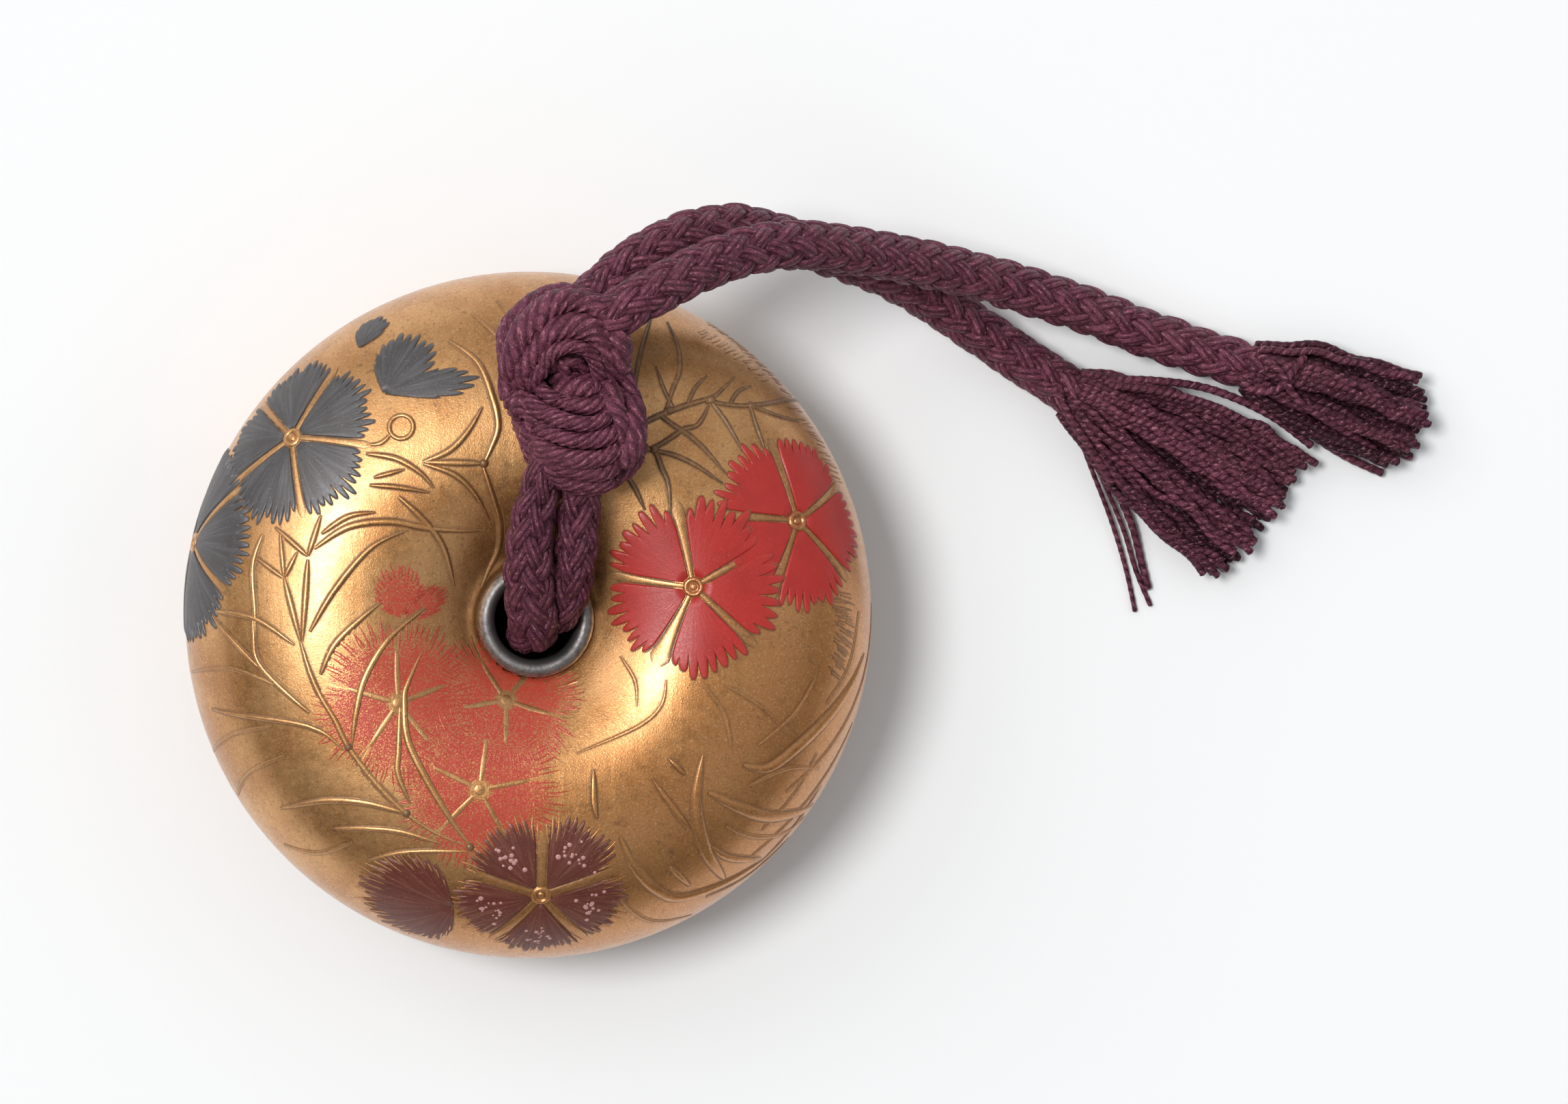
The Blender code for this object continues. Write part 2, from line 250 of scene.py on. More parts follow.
def tapered(count, ends=2):
    """1 along a strand, falling to almost nothing over its first and last rings, which closes it."""
    taper = np.ones(count)
    closing = np.sin(np.linspace(0.02, 1.0, ends + 1)[:-1] * math.pi / 2)
    taper[:ends] = closing
    taper[-ends:] = closing[::-1]
    return taper


def blunt_ended(line):
    """The line with its first two and last two points drawn up close to the next, as a cut end needs."""
    line = line.copy()
    line[:2] = line[2] + 0.3 * (line[:2] - line[2])
    line[-2:] = line[-3] + 0.3 * (line[-2:] - line[-3])
    return line


def ellipse(centre_r, centre_z, half_r, half_z, start, end, count):
    """(radius, height) points on an ellipse, from one angle to another in degrees."""
    angle = np.radians(np.linspace(start, end, count))
    return np.stack([centre_r + half_r * np.cos(angle), centre_z + half_z * np.sin(angle)], axis=1)


def dimple(inner_radius, depth, top, count):
    """(radius, height) points from the dimple's inner edge up to the crest, on a parabola."""
    radius = np.linspace(inner_radius, CREST_RADIUS, count)
    drop = (CREST_RADIUS - radius) / (CREST_RADIUS - inner_radius)
    return np.stack([radius, top - depth * drop**2], axis=1)


def revolve(shape, profile, around, **values):
    """Adds a profile of (radius, height) rows turned about the Z axis."""
    angle = circle(around)
    ring = np.stack([np.cos(angle), np.sin(angle), np.ones(around)], axis=1)
    spokes = np.stack([profile[:, 0], profile[:, 0], profile[:, 1]], axis=1)
    shape.grid(spokes[:, None] * ring[None], wrap=True, **values)


# ---------------------------------------------------------------- the bowl's outside as a map


def outside_profile():
    """The bowl's outside as rows of the distance walked from the axis, the radius and height there, and
    how they grow with it."""
    shoulder = (BODY_RADIUS - CREST_RADIUS, CREST_HEIGHT - WIDEST_HEIGHT)
    profile = np.vstack(
        [
            dimple(EYELET_RADIUS, DIMPLE_DEPTH, CREST_HEIGHT, 120),
            ellipse(CREST_RADIUS, WIDEST_HEIGHT, *shoulder, 90, 0, 240)[1:],
            ellipse(FOOT_RADIUS, WIDEST_HEIGHT, BODY_RADIUS - FOOT_RADIUS, WIDEST_HEIGHT, 0, -90, 160)[1:],
        ]
    )
    walked = EYELET_RADIUS + distances(profile)
    return np.column_stack([walked, profile, np.gradient(profile, walked, axis=0)])


OUTSIDE = outside_profile()
LAST = OUTSIDE[-1, 0]


def outside_at(distance):
    """The outside's radius and height at these distances, and how they grow."""
    return [np.interp(distance, OUTSIDE[:, 0], column) for column in OUTSIDE.T[1:]]


def on_bowl(distance, bearing, lift):
    """The 3-D points at these distances and bearings on the bowl, lifted off its surface."""
    radius, height, run, rise = outside_at(np.clip(distance, EYELET_RADIUS, LAST))
    size = np.hypot(run, rise)
    radius = radius - lift * rise / size
    height = height + lift * run / size
    return np.stack([radius * np.cos(bearing), radius * np.sin(bearing), height], axis=-1)


class Spot:
    """A flat drawing's place on the bowl: polar points round it, walked straight over the surface."""

    STEPS = 60
    HEADINGS = 120

    def __init__(self, x, y, reach):
        self.reach = reach
        self.ground = 0.0
        distance = np.full(self.HEADINGS, math.hypot(x, y))
        bearing = np.full(self.HEADINGS, math.atan2(y, x))
        course = circle(self.HEADINGS) - bearing
        stride = reach / self.STEPS
        rows = [(distance, bearing)]
        for _ in range(self.STEPS):
            radius, _, run, _ = outside_at(np.clip(distance, EYELET_RADIUS, LAST))
            sideways = np.sin(course) * stride / radius
            distance = distance + np.cos(course) * stride
            bearing = bearing + sideways
            course = course - run * sideways
            rows.append((distance, bearing))
        table = np.moveaxis(rows, 1, 2)
        self.table = np.concatenate([table, table[:, :1]], axis=1)

    def place(self, reach, heading, lift):
        """The 3-D points at these reaches and headings from the spot, lifted off its ground."""
        row = np.clip(reach / self.reach, 0, 0.9999) * self.STEPS
        column = (heading % TURN) / TURN * self.HEADINGS
        row, column = np.broadcast_arrays(row, column)
        i = row.astype(int)
        j = np.minimum(column.astype(int), self.HEADINGS - 1)
        down = (row - i)[..., None]
        right = (column - j)[..., None]
        upper = self.table[i, j] * (1 - right) + self.table[i, j + 1] * right
        lower = self.table[i + 1, j] * (1 - right) + self.table[i + 1, j + 1] * right
        distance, bearing = np.moveaxis(upper * (1 - down) + lower * down, -1, 0)
        return on_bowl(distance, bearing, self.ground + lift)


def on_map(points, lift):
    """The 3-D points of a line on the map: x and y of the distance from the axis and its bearing."""
    x, y = np.moveaxis(points, -1, 0)
    return on_bowl(np.hypot(x, y), np.arctan2(y, x), lift)


# ---------------------------------------------------------------- materials


class Nodes:
    """Short calls that add shader nodes to a tree."""

    def __init__(self, tree):
        self.tree = tree

    def feed(self, socket, value):
        """Puts a plain value, a colour or another node's output on a socket."""
        if isinstance(value, bpy.types.NodeSocket):
            self.tree.links.new(value, socket)
        elif value is not None:
            socket.default_value = (*value, 1.0) if socket.type == "RGBA" else value

    def node(self, kind, *inputs, **settings):
        made = self.tree.nodes.new("ShaderNode" + kind)
        for key, value in settings.items():
            setattr(made, key, value)
        for socket, value in zip(made.inputs, inputs):
            self.feed(socket, value)
        return made

    def math(self, operation, *inputs, clamp=False):
        return self.node("Math", *inputs, operation=operation, use_clamp=clamp).outputs[0]

    def times(self, first, second):
        return self.math("MULTIPLY", first, second)

    def range(self, value, low, high, to_low=0.0, to_high=1.0):
        """Maps low..high to another range, with soft ends."""
        ends = (low, high, to_low, to_high)
        return self.node("MapRange", value, *ends, interpolation_type="SMOOTHSTEP").outputs[0]


class Finish(Nodes):
    """A material being built. Its colour is laid on in tints, one over the other."""

    def __init__(self, name, colour, roughness, metallic=0.0, **plain):
        self.material = bpy.data.materials.new(name)
        self.material.use_nodes = True
        self.material.diffuse_color = (*colour, 1.0)
        super().__init__(self.material.node_tree)
        self.colour = colour
        self.set(Base_Color=colour, Roughness=roughness, Metallic=metallic, **plain)

    def set(self, **sockets):
        """Feeds the Principled shader's sockets. A name has _ for its blanks."""
        for name, value in sockets.items():
            self.feed(self.tree.nodes["Principled BSDF"].inputs[name.replace("_", " ")], value)

    def value(self, name):
        """A value that the mesh has at its points."""
        return self.node("Attribute", attribute_name=name).outputs["Fac"]

    def place(self, stretch=(1, 1, 1), turn=(0, 0, 0)):
        """The point's place on the object in metres, stretched for long patterns."""
        place = self.node("TexCoord").outputs["Object"]
        return self.node("Mapping", place, None, turn, stretch).outputs[0]

    def scaled(self, x, by_x, y, by_y=None, z=0.0):
        """A place for a pattern on a mesh's own values, the second as it is or times a number too."""
        second = self.times(y, by_y) if by_y else y
        return self.node("CombineXYZ", self.times(x, by_x), second, z).outputs[0]

    def noise(self, scale, detail, roughness, at=None):
        return self.node("TexNoise", at or self.place(), None, scale, detail, roughness).outputs["Fac"]

    def mix(self, amount, first, second):
        unused = [None] * 5
        return self.node("Mix", amount, *unused, first, second, data_type="RGBA").outputs[2]

    def cover(self, amount, colour):
        """Lays a colour over the one so far, by this amount at each place."""
        self.colour = self.mix(amount, self.colour, colour)

    def tint(self, value, low, high, most, colour):
        """Lays a colour over the one so far: none where the value is low, most of it where it is high."""
        self.cover(self.range(value, low, high, 0.0, most), colour)

    def bumps(self, *layers):
        """Bumps one over the other, each a height and its depth in metres."""
        normal = None
        for height, depth in layers:
            normal = self.node("Bump", 1.0, depth, None, height, normal).outputs[0]
        self.set(Normal=normal)


def dimmed(colour, part):
    return tuple(part * channel for channel in colour)


def gold_finish():
    """Powdered gold under clear lacquer: two golds in soft clouds, fine grain, hairlines and rubbed spots,
    and a deeper, darker gold toward the lower right that is partly painted shade.
    The meshes give two values: ink darkens to a brown line, and on the twigs by the knot also paints shade
    there; sprinkle adds red grains."""
    gold = Finish("gold_lacquer", (0.60, 0.30, 0.11), 0.32, 0.85, Coat_Roughness=0.24)
    gold.colour = (0.66, 0.338, 0.130)
    gold.tint(gold.noise(220, 3, 0.55), 0.35, 0.7, 1.0, (0.50, 0.218, 0.069))
    brushed = gold.noise(900, 3, 0.6, gold.place((1.0, 0.12, 1.0), (0, 0, 0.2)))
    gold.tint(brushed, 0.45, 0.75, 0.35, (0.38, 0.19, 0.06))
    # Painted shade together with the gold's own deeper tone: darker toward the lower right, which dims the
    # key light's sheen there.
    side = gold.place((28.0, 28.0, 28.0), (0, 0, math.radians(42)))
    gold.tint(gold.node("SeparateXYZ", side).outputs["X"], 0.0, 0.45, 0.70, (0.54, 0.213, 0.060))
    grain = gold.noise(9000, 2, 0.6)
    gold.tint(grain, 0.52, 0.70, 0.50, (0.84, 0.58, 0.29))
    gold.tint(gold.noise(4200, 3, 0.7), 0.54, 0.70, 0.55, (0.26, 0.115, 0.036))
    rubbed = gold.times(gold.noise(420, 4, 0.7), gold.noise(2600, 2, 0.6))
    gold.tint(rubbed, 0.33, 0.45, 0.5, (0.20, 0.10, 0.05))
    ink = gold.value("ink")
    broken = gold.range(gold.noise(2500, 3, 0.6), 0.25, 0.6, 0.7, 1.0)
    gold.cover(gold.math("MULTIPLY", ink, broken, clamp=True), (0.105, 0.052, 0.026))
    grains = gold.math("ADD", gold.noise(10000, 2, 0.7), gold.value("sprinkle"))
    red = gold.range(grains, 1.0, 1.09, 0.0, 0.92)
    gold.cover(red, (0.48, 0.030, 0.024))
    dull = gold.math("MAXIMUM", red, ink)
    gold.set(
        Base_Color=gold.colour,
        Metallic=gold.range(dull, 0.0, 1.0, 0.85, 0.08),
        Coat_Weight=gold.range(dull, 0.0, 0.8, 0.55, 0.0),
        Roughness=gold.range(gold.noise(1500, 3, 0.6), 0.3, 0.7, 0.33, 0.43),
    )
    gold.bumps((grain, 0.000014), (brushed, 0.00002))
    return gold.material


def petal_finish(name, deep, pale, roughness, metallic, streak, dots=(0.5, 0.3, 0.3), **plain):
    """Coloured lacquer on a petal: streaks that run outward, a paler fringe that is a painted highlight,
    and fine specks.
    The meshes give along, 0 to 1 outward and 2 on dots, and across, which grows from petal to petal."""
    petal = Finish(name, deep, roughness, metallic, **plain)
    along = petal.value("along")
    streaks = petal.noise(1, 3, 0.65, petal.scaled(petal.value("across"), 14.0, along))
    petal.tint(streaks, 0.40, 0.80, streak, pale)
    petal.tint(petal.noise(500, 3, 0.6), 0.4, 0.7, 0.35, dimmed(deep, 0.62))
    specks = petal.noise(7000, 2, 0.6)
    petal.tint(specks, 0.60, 0.75, 0.5, pale)
    # Painted highlight: the petal is paler toward its fringe, as where the teeth catch the light.
    petal.tint(along, 0.86, 1.0, 0.30, pale)
    petal.tint(along, 1.5, 1.6, 1.0, dots)
    rough = petal.range(specks, 0.3, 0.7, roughness - 0.05, roughness + 0.08)
    petal.set(Base_Color=petal.colour, Roughness=rough)
    petal.bumps((streaks, 0.00001), (specks, 0.00001))
    return petal.material


def metal_finish(name, colour, worn, roughness):
    """Dark patinated metal, brighter where it is rubbed, with small pits."""
    metal = Finish(name, colour, roughness, 0.85)
    clouds = metal.noise(700, 4, 0.6)
    metal.tint(clouds, 0.4, 0.7, 1.0, dimmed(colour, 0.6))
    rubbed = metal.range(metal.noise(3500, 3, 0.7), 0.35, 0.6)
    metal.cover(metal.times(metal.value("rim"), rubbed), worn)
    rough = metal.range(clouds, 0.3, 0.7, roughness - 0.06, roughness + 0.10)
    metal.set(Base_Color=metal.colour, Roughness=rough)
    metal.bumps((metal.noise(5000, 3, 0.7), 0.00002), (clouds, 0.00004))
    return metal.material


def silk_finish():
    """Twisted silk, with painted glints and painted shade. The meshes give yarn, which counts threads round
    a
    strand, along in millimetres, and a tone value, 1 where the silk is palest and less where it is darker:
    partly the silk's own tone, partly painted shade."""
    silk = Finish(
        "purple_silk",
        (0.115, 0.024, 0.048),
        0.5,
        Specular_IOR_Level=0.30,
        Specular_Tint=(1.0, 0.62, 0.72),
        Sheen_Weight=0.05,
        Sheen_Roughness=0.4,
        Sheen_Tint=(0.80, 0.30, 0.48),
    )
    yarn = silk.value("yarn")
    along = silk.value("along")
    from_crown = silk.math("ABSOLUTE", silk.math("SUBTRACT", silk.math("FRACT", yarn), 0.5))
    groove = silk.times(silk.range(from_crown, 0.24, 0.5), silk.range(silk.noise(1900, 3, 0.6), 0.28, 0.58))
    each = silk.noise(1.3, 3, 0.6, silk.scaled(silk.math("FLOOR", yarn), 3.7, along))
    silk.colour = (0.088, 0.019, 0.037)
    silk.tint(each, 0.36, 0.64, 1.0, (0.215, 0.057, 0.096))
    # Painted shade: the grooves between the threads are darker.
    silk.cover(silk.times(groove, 0.80), (0.026, 0.004, 0.011))
    # Painted shade: darker patches for hollows in the silk.
    silk.tint(silk.noise(1300, 3, 0.65), 0.53, 0.70, 0.70, (0.030, 0.005, 0.014))
    # Painted glints: pale pink dashes and spots on the threads' crowns.
    dashes = silk.range(silk.noise(1, 2, 0.6, silk.scaled(yarn, 4.0, along, 2.8, 4.0)), 0.54, 0.68)
    glints = silk.noise(4300, 2, 0.7)
    spots = silk.math("MAXIMUM", dashes, silk.range(glints, 0.59, 0.70))
    painted_glint = silk.times(silk.range(from_crown, 0.06, 0.34, 1.0, 0.0), spots)
    silk.cover(silk.times(painted_glint, 0.35), (0.44, 0.160, 0.205))
    fibres = silk.noise(1, 3, 0.7, silk.scaled(yarn, 7.0, along, 1.6, 2.0))
    silk.cover(silk.range(fibres, 0.38, 0.62, 0.55, 0.0), (0.045, 0.009, 0.020))
    # Painted glints and fibre fuzz: fine pale pink specks, whose noise also roughens the surface in the
    # bumps below.
    fuzz_and_glints = silk.noise(12000, 2, 0.7)
    silk.tint(fuzz_and_glints, 0.56, 0.72, 0.55, (0.42, 0.175, 0.215))
    silk.tint(silk.noise(170, 2, 0.5), 0.48, 0.75, 0.30, (0.17, 0.060, 0.066))
    # The tone value darkens the silk: random tone, and painted shade in the braid's dips, the knot's core,
    # the loop under the knot and the tassels' lower yarns.
    silk.colour = silk.mix(silk.value("tone"), (0.014, 0.003, 0.007), silk.colour)
    # The painted glints again, laid over the tone value so that they stay bright where the silk is
    # darkened.
    silk.cover(silk.times(painted_glint, 0.50), (0.55, 0.240, 0.280))
    silk.set(Base_Color=silk.colour, Roughness=silk.range(each, 0.3, 0.7, 0.38, 0.58))
    woolly = silk.math("ADD", fibres, fuzz_and_glints)
    silk.bumps((silk.times(groove, -1.0), 0.00008), (glints, 0.00005), (woolly, 0.00003))
    return silk.material


def floor_finish():
    return Finish("pale_floor", (0.90, 0.90, 0.90), 1.0, Specular_IOR_Level=0.0).material


# ---------------------------------------------------------------- camera, light, floor

# The camera looks almost straight down, from a little left of and above the object.
CAMERA_PLACE = Vector((-37.25, 25.09, 610.0)) * MM
CAMERA_TARGET = Vector((16.75, 4.09, 10.0)) * MM
CAMERA_LENS = 210.7


def make_camera():
    data = bpy.data.cameras.new("camera")
    data.sensor_width = 36.0
    data.lens = CAMERA_LENS
    camera = put("camera", data)
    camera.location = CAMERA_PLACE
    back = (CAMERA_PLACE - CAMERA_TARGET).normalized()
    right = Vector((0.0, 1.0, 0.0)).cross(back).normalized()
    camera.rotation_euler = Matrix((right, back.cross(right), back)).transposed().to_euler()
    bpy.context.scene.camera = camera


def make_floor():
    bpy.ops.mesh.primitive_plane_add(size=6.0, location=(0.0, 0.0, 0.0))
    floor = bpy.context.object
    floor.name = "floor"
    floor.data.materials.append(floor_finish())


def add_light(name, kind, place, aim, **settings):
    data = bpy.data.lights.new(name, kind)
    for key, value in settings.items():
        setattr(data, key, value)
    light = put(name, data)
    light.location = place
    light.rotation_euler = (Vector(place) - Vector(aim)).to_track_quat("Z", "Y").to_euler()


def make_light():
    """A broad key light from the left, a soft one from the upper left, and a studio that is dark low down,
    most of all toward the lower edge of the picture, and darker where the camera stands."""
    aim = (0.0, 0.0, 0.01)
    add_light("key", "SUN", (-0.38, 0.11, 0.9), aim, energy=1.93, angle=math.radians(17))
    add_light("soft", "AREA", (-0.5, 0.32, 0.45), aim, energy=0.9, size=0.45)
    world = bpy.data.worlds.new("studio")
    bpy.context.scene.world = world
    world.use_nodes = True
    sky = Nodes(world.node_tree)
    toward = sky.node("TexCoord").outputs["Generated"]
    high, overhead = (
        sky.node("VectorMath", toward, way, operation="DOT_PRODUCT").outputs["Value"]
        for way in ((0.06, 0.33, 1.0), (0.12, -0.12, 0.985))
    )
    strength = sky.times(sky.range(high, 0.0, 0.80, 0.04, 0.615), sky.range(overhead, 0.88, 1.0, 1.0, 0.3))
    background = world.node_tree.nodes["Background"]
    sky.feed(background.inputs["Color"], (0.945, 0.98, 1.0))
    sky.feed(background.inputs["Strength"], strength)
    bpy.context.scene.view_settings.view_transform = "Standard"


# ---------------------------------------------------------------- cord

STRANDS_EACH_WAY = 8
BRAID_TURN = 17.0
BRAID_STEP = 0.28
# How far the strands' middles lie from the cord's, and how far they rise and dip over each other.
STRAND_REACH = 0.89
STRAND_WAVE = 0.27
STRAND_WIDTH = 0.50
STRAND_THICKNESS = 0.45
STRAND_POINTS = 14
THREADS_ROUND_STRAND = 8
THREAD_TURN = 30.0


def add_tube(shape, centre, side, up, wide, thick, wrap, **values):
    """Adds a ring of points round each centre point, reaching so wide to its side and so thick up."""
    ring = centre[:, None] + side[:, None] * wide[..., None] + up[:, None] * thick[..., None]
    shape.grid(ring, wrap, **values)


def add_strand(shape, centre, side, up, width, thickness, yarns, twist, columns, relief, shift, tone):
    """An oval strand of plied yarns swept along centre points. It starts and ends closed."""
    centre = blunt_ended(centre)
    angle = circle(columns) - math.pi / 2
    turned = yarns * angle[None, :] - twist[:, None]
    lobes = 1 + relief * np.cos(turned)
    taper = tapered(len(centre))
    wide = (width * taper)[:, None] * np.cos(angle) * lobes
    thick = (thickness * taper)[:, None] * np.sin(angle) * lobes
    along = distances(centre)[:, None] + shift
    yarn = turned / TURN + 0.5 + shift
    add_tube(shape, centre, side, up, wide, thick, True, yarn=yarn, along=along, tone=tone)


def add_plied(shape, centre, side, up, radius, yarns, pitch, start, columns, relief, shift):
    """A slightly flattened strand whose yarns turn about it. Its points run along the yarns, and it is
    joined up in the groove between two of them."""
    along = distances(centre)
    around = np.linspace(0, TURN, columns + 1)
    angle = around[None, :] + (along * TURN / pitch + start)[:, None]
    reach = (radius * tapered(len(centre)))[:, None] * (1 - relief * np.cos(yarns * around))
    wide = reach * np.cos(angle)
    thick = 0.85 * reach * np.sin(angle)
    yarn = yarns * around[None, :] / TURN + shift
    add_tube(shape, centre, side, up, wide, thick, False, yarn=yarn, along=along[:, None] + shift)


def add_braid(shape, route, radius, turned, seed, tone):
    """A round sixteen-strand braid along a line: eight strands each way, each over two and under two."""
    rng = np.random.default_rng(seed)
    line = smooth_line(np.column_stack([route, radius]), BRAID_STEP)
    size = line[:, 3] / CORD_RADIUS
    line = line[:, :3]
    along = distances(line)
    _, side, up = carried_frames(line)
    for strand in range(2 * STRANDS_EACH_WAY):
        way = 1 if strand < STRANDS_EACH_WAY else -1
        start = TURN * (strand % STRANDS_EACH_WAY) / STRANDS_EACH_WAY
        if way < 0:
            start += TURN / (2 * STRANDS_EACH_WAY)
        course = start + way * TURN * along / BRAID_TURN
        wave = way * np.cos(4 * course)
        wave = wave * (1.5 - 0.5 * wave**2)
        wander = np.sin(along * rng.uniform(0.5, 1.3) + rng.uniform(0, TURN))
        angle = course + turned + 0.05 * wander
        reach = (STRAND_REACH + STRAND_WAVE * wave + 0.04 * wander) * size
        outward = side * np.cos(angle)[:, None] + up * np.sin(angle)[:, None]
        centre = line + outward * reach[:, None]
        across, outward = squared(centre, outward)
        width = (STRAND_WIDTH + 0.07 * wave) * size
        thickness = (STRAND_THICKNESS + 0.04 * wave) * size
        twist = along * TURN / THREAD_TURN + rng.uniform(0, TURN)
        shift = 17.0 * strand + rng.integers(0, 5)
        # Painted shade: a strand is darker where it dips under the others.
        shade = tone * (0.63 + 0.37 * wave)[:, None]
        section = (width, thickness, THREADS_ROUND_STRAND, twist, STRAND_POINTS, 0.0, shift, shade)
        add_strand(shape, centre, across, outward, *section)
    return line


def loop_route():
    """The cord from the knot down the front leg, round the lid's staple and up the rear leg."""
    bearing = (math.cos(LOOP_AZIMUTH), math.sin(LOOP_AZIMUTH))
    inside = [
        (HOLE_LEG_OFFSET, 14.9, 1.25),
        (HOLE_LEG_OFFSET, 13.4, 1.25),
        (1.5, 12.0, 1.35),
        (2.35, 10.4, 1.5),
        (3.2, 8.7, CORD_RADIUS),
    ]
    for angle in (0, 35, 65):
        offset = LOOP_RADIUS * math.cos(math.radians(angle))
        height = LOOP_CENTRE_HEIGHT - LOOP_RADIUS * math.sin(math.radians(angle))
        inside.append((offset, height, CORD_RADIUS))
    inside = np.array(inside)
    bottom = (0.0, LOOP_CENTRE_HEIGHT - LOOP_RADIUS, CORD_RADIUS)
    plane = np.vstack([inside * (-1, 1, 1), bottom, inside[::-1]])
    hidden = np.column_stack([plane[:, :1] * bearing, plane[:, 1:]])
    return np.vstack([FRONT_LEG, hidden, REAR_LEG])


# The knot's turns as they are seen from above: half width, depth under the lobes' outer shape, and
# x and y of the middle line.
KNOT_TURNS = [
    # the outer hood, over the top and down the right side, and its second round
    (0.90, -0.35, [
        (-0.9, 13.6), (-1.8, 14.7), (-2, 15.8), (-1.9, 17), (-1.2, 18.7), (0, 20), (1.4, 20.7),
        (2.9, 20.5), (4.1, 19.6), (4.8, 18.1), (5, 16.4), (5.6, 14.8), (5.8, 13.1), (5.5, 11.5),
        (4.8, 10)]),
    (0.80, 0.0, [
        (-0.9, 14.6), (-1.2, 15.9), (-0.7, 17.3), (0.3, 18.5), (1.6, 19.1), (3, 18.9), (3.9, 17.9),
        (4.2, 16.5), (4.3, 15.2), (4.4, 14), (4.9, 12.7), (4.8, 11.3)]),
    # the turn round the small hollow, the bright end beside it and the threads in it
    (0.46, 0.0, [
        (-0.1, 16.4), (0.6, 17.4), (1.7, 17.8), (2.8, 17.5), (3.4, 16.7), (3.6, 15.7), (3.3, 14.8)]),
    (0.50, -0.1, [(-0.8, 14.9), (-0.4, 15.9), (0.2, 16.6)]),
    (0.36, 1.0, [(0.3, 16.1), (1.2, 16.7), (2.3, 16.7), (3.1, 15.9)]),
    (0.36, 1.1, [(0.4, 15.4), (1.3, 15.9), (2.3, 15.8), (3.1, 15.2)]),
    (0.34, 0.9, [(1, 17.1), (1.5, 16), (1.6, 14.8)]),
    # the turns that hang below the hollow
    (0.50, 0.1, [(-0.5, 15.5), (0.4, 14.6), (1.7, 14.1), (3, 14), (4.1, 14.3)]),
    (0.50, -0.1, [(-1, 14.6), (0, 13.6), (1.5, 13), (2.9, 12.9), (4.3, 13.3)]),
    (0.52, 0.1, [(-1.2, 13.9), (-0.4, 12.8), (0.8, 12.1), (2.1, 11.8), (3.5, 11.9), (4.7, 12.4)]),
    (0.58, -0.1, [(-1.1, 12.9), (-0.5, 11.8), (0.7, 10.9), (2.2, 10.6), (3.7, 10.7), (4.9, 11.4)]),
    (0.54, 0.1, [(-0.6, 11.8), (0.4, 10.5), (1.9, 9.8), (3.5, 9.7), (4.8, 10.3)]),
    (0.58, 0.0, [(0.2, 10.3), (1.4, 9.2), (3.1, 8.9), (4.6, 9.3)]),
    # the turns down the left side
    (0.62, 0.3, [(-1.7, 14.6), (-1.4, 13.2), (-0.9, 11.9), (-0.3, 10.7)]),
    (0.60, 1.2, [(-1.9, 14.9), (-1.6, 13.6), (-1, 12.2), (-0.2, 10.4), (1, 9.1)]),
]
# A third, lesser lobe fills the fold between the other two on the left.
KNOT_FILL = ((0.6, 13.6, 22), (2.4, 2.8, 3))
# The turns that close the knot's sides: how far below the lobes' middles they lie, and their half width.
KNOT_SIDE_DROPS = (-0.4, 0.8, 1.9, 2.8)
KNOT_SIDE_RADIUS = 0.78
KNOT_SIDE_DEPTH = 0.6
KNOT_SIDE_SEED = 20
KNOT_CORE_DEPTH = 1.4
KNOT_PITCH = 4.5
# Along y, where the knot begins to belong to its upper lobe, and over what length.
KNOT_FOLD = 13.2
KNOT_FOLD_LENGTH = 3.6


def on_knot(x, y, depth):
    """The knot's rounded top above these plan places, so deep under its outer shape."""
    heights = []
    for centre, half_sizes in (*KNOT_LOBES, KNOT_FILL):
        half = np.array(half_sizes) - depth
        spread = ((x - centre[0]) / half[0]) ** 2 + ((y - centre[1]) / half[1]) ** 2
        domed = centre[2] + half[2] * np.sqrt(np.maximum(1 - spread, 0))
        heights.append(domed - 1.5 * np.maximum(spread - 1, 0))
    return np.stack([x, y, np.max(heights, axis=0)], axis=-1)


def add_knot_turn(shape, line, radius, seed):
    """One flattened turn of the knot: twisted yarns laid side by side along a line on the lobes."""
    rng = np.random.default_rng(seed)
    along = distances(line)
    upper, lower = (np.array(centre) for centre, _ in KNOT_LOBES)
    toward_upper = np.clip((line[:, 1:2] - KNOT_FOLD) / KNOT_FOLD_LENGTH, 0, 1)
    outward = unit(line - (toward_upper * upper + (1 - toward_upper) * lower))
    wobble = np.sin(along * rng.uniform(1.6, 2.6) + rng.uniform(0, TURN))
    line = line + outward * (0.05 * wobble)[:, None]
    across, outward = squared(line, outward)
    swell = 1 + 0.09 * np.sin(along * rng.uniform(0.8, 1.5) + rng.uniform(0, TURN))
    yarns = 6 if radius > 0.4 else 3
    pitch = KNOT_PITCH * (0.4 + radius)
    start = rng.uniform(0, TURN)
    add_plied(shape, line, across, outward, radius * swell, yarns, pitch, start, 30, 0.10, 13.0 * seed)


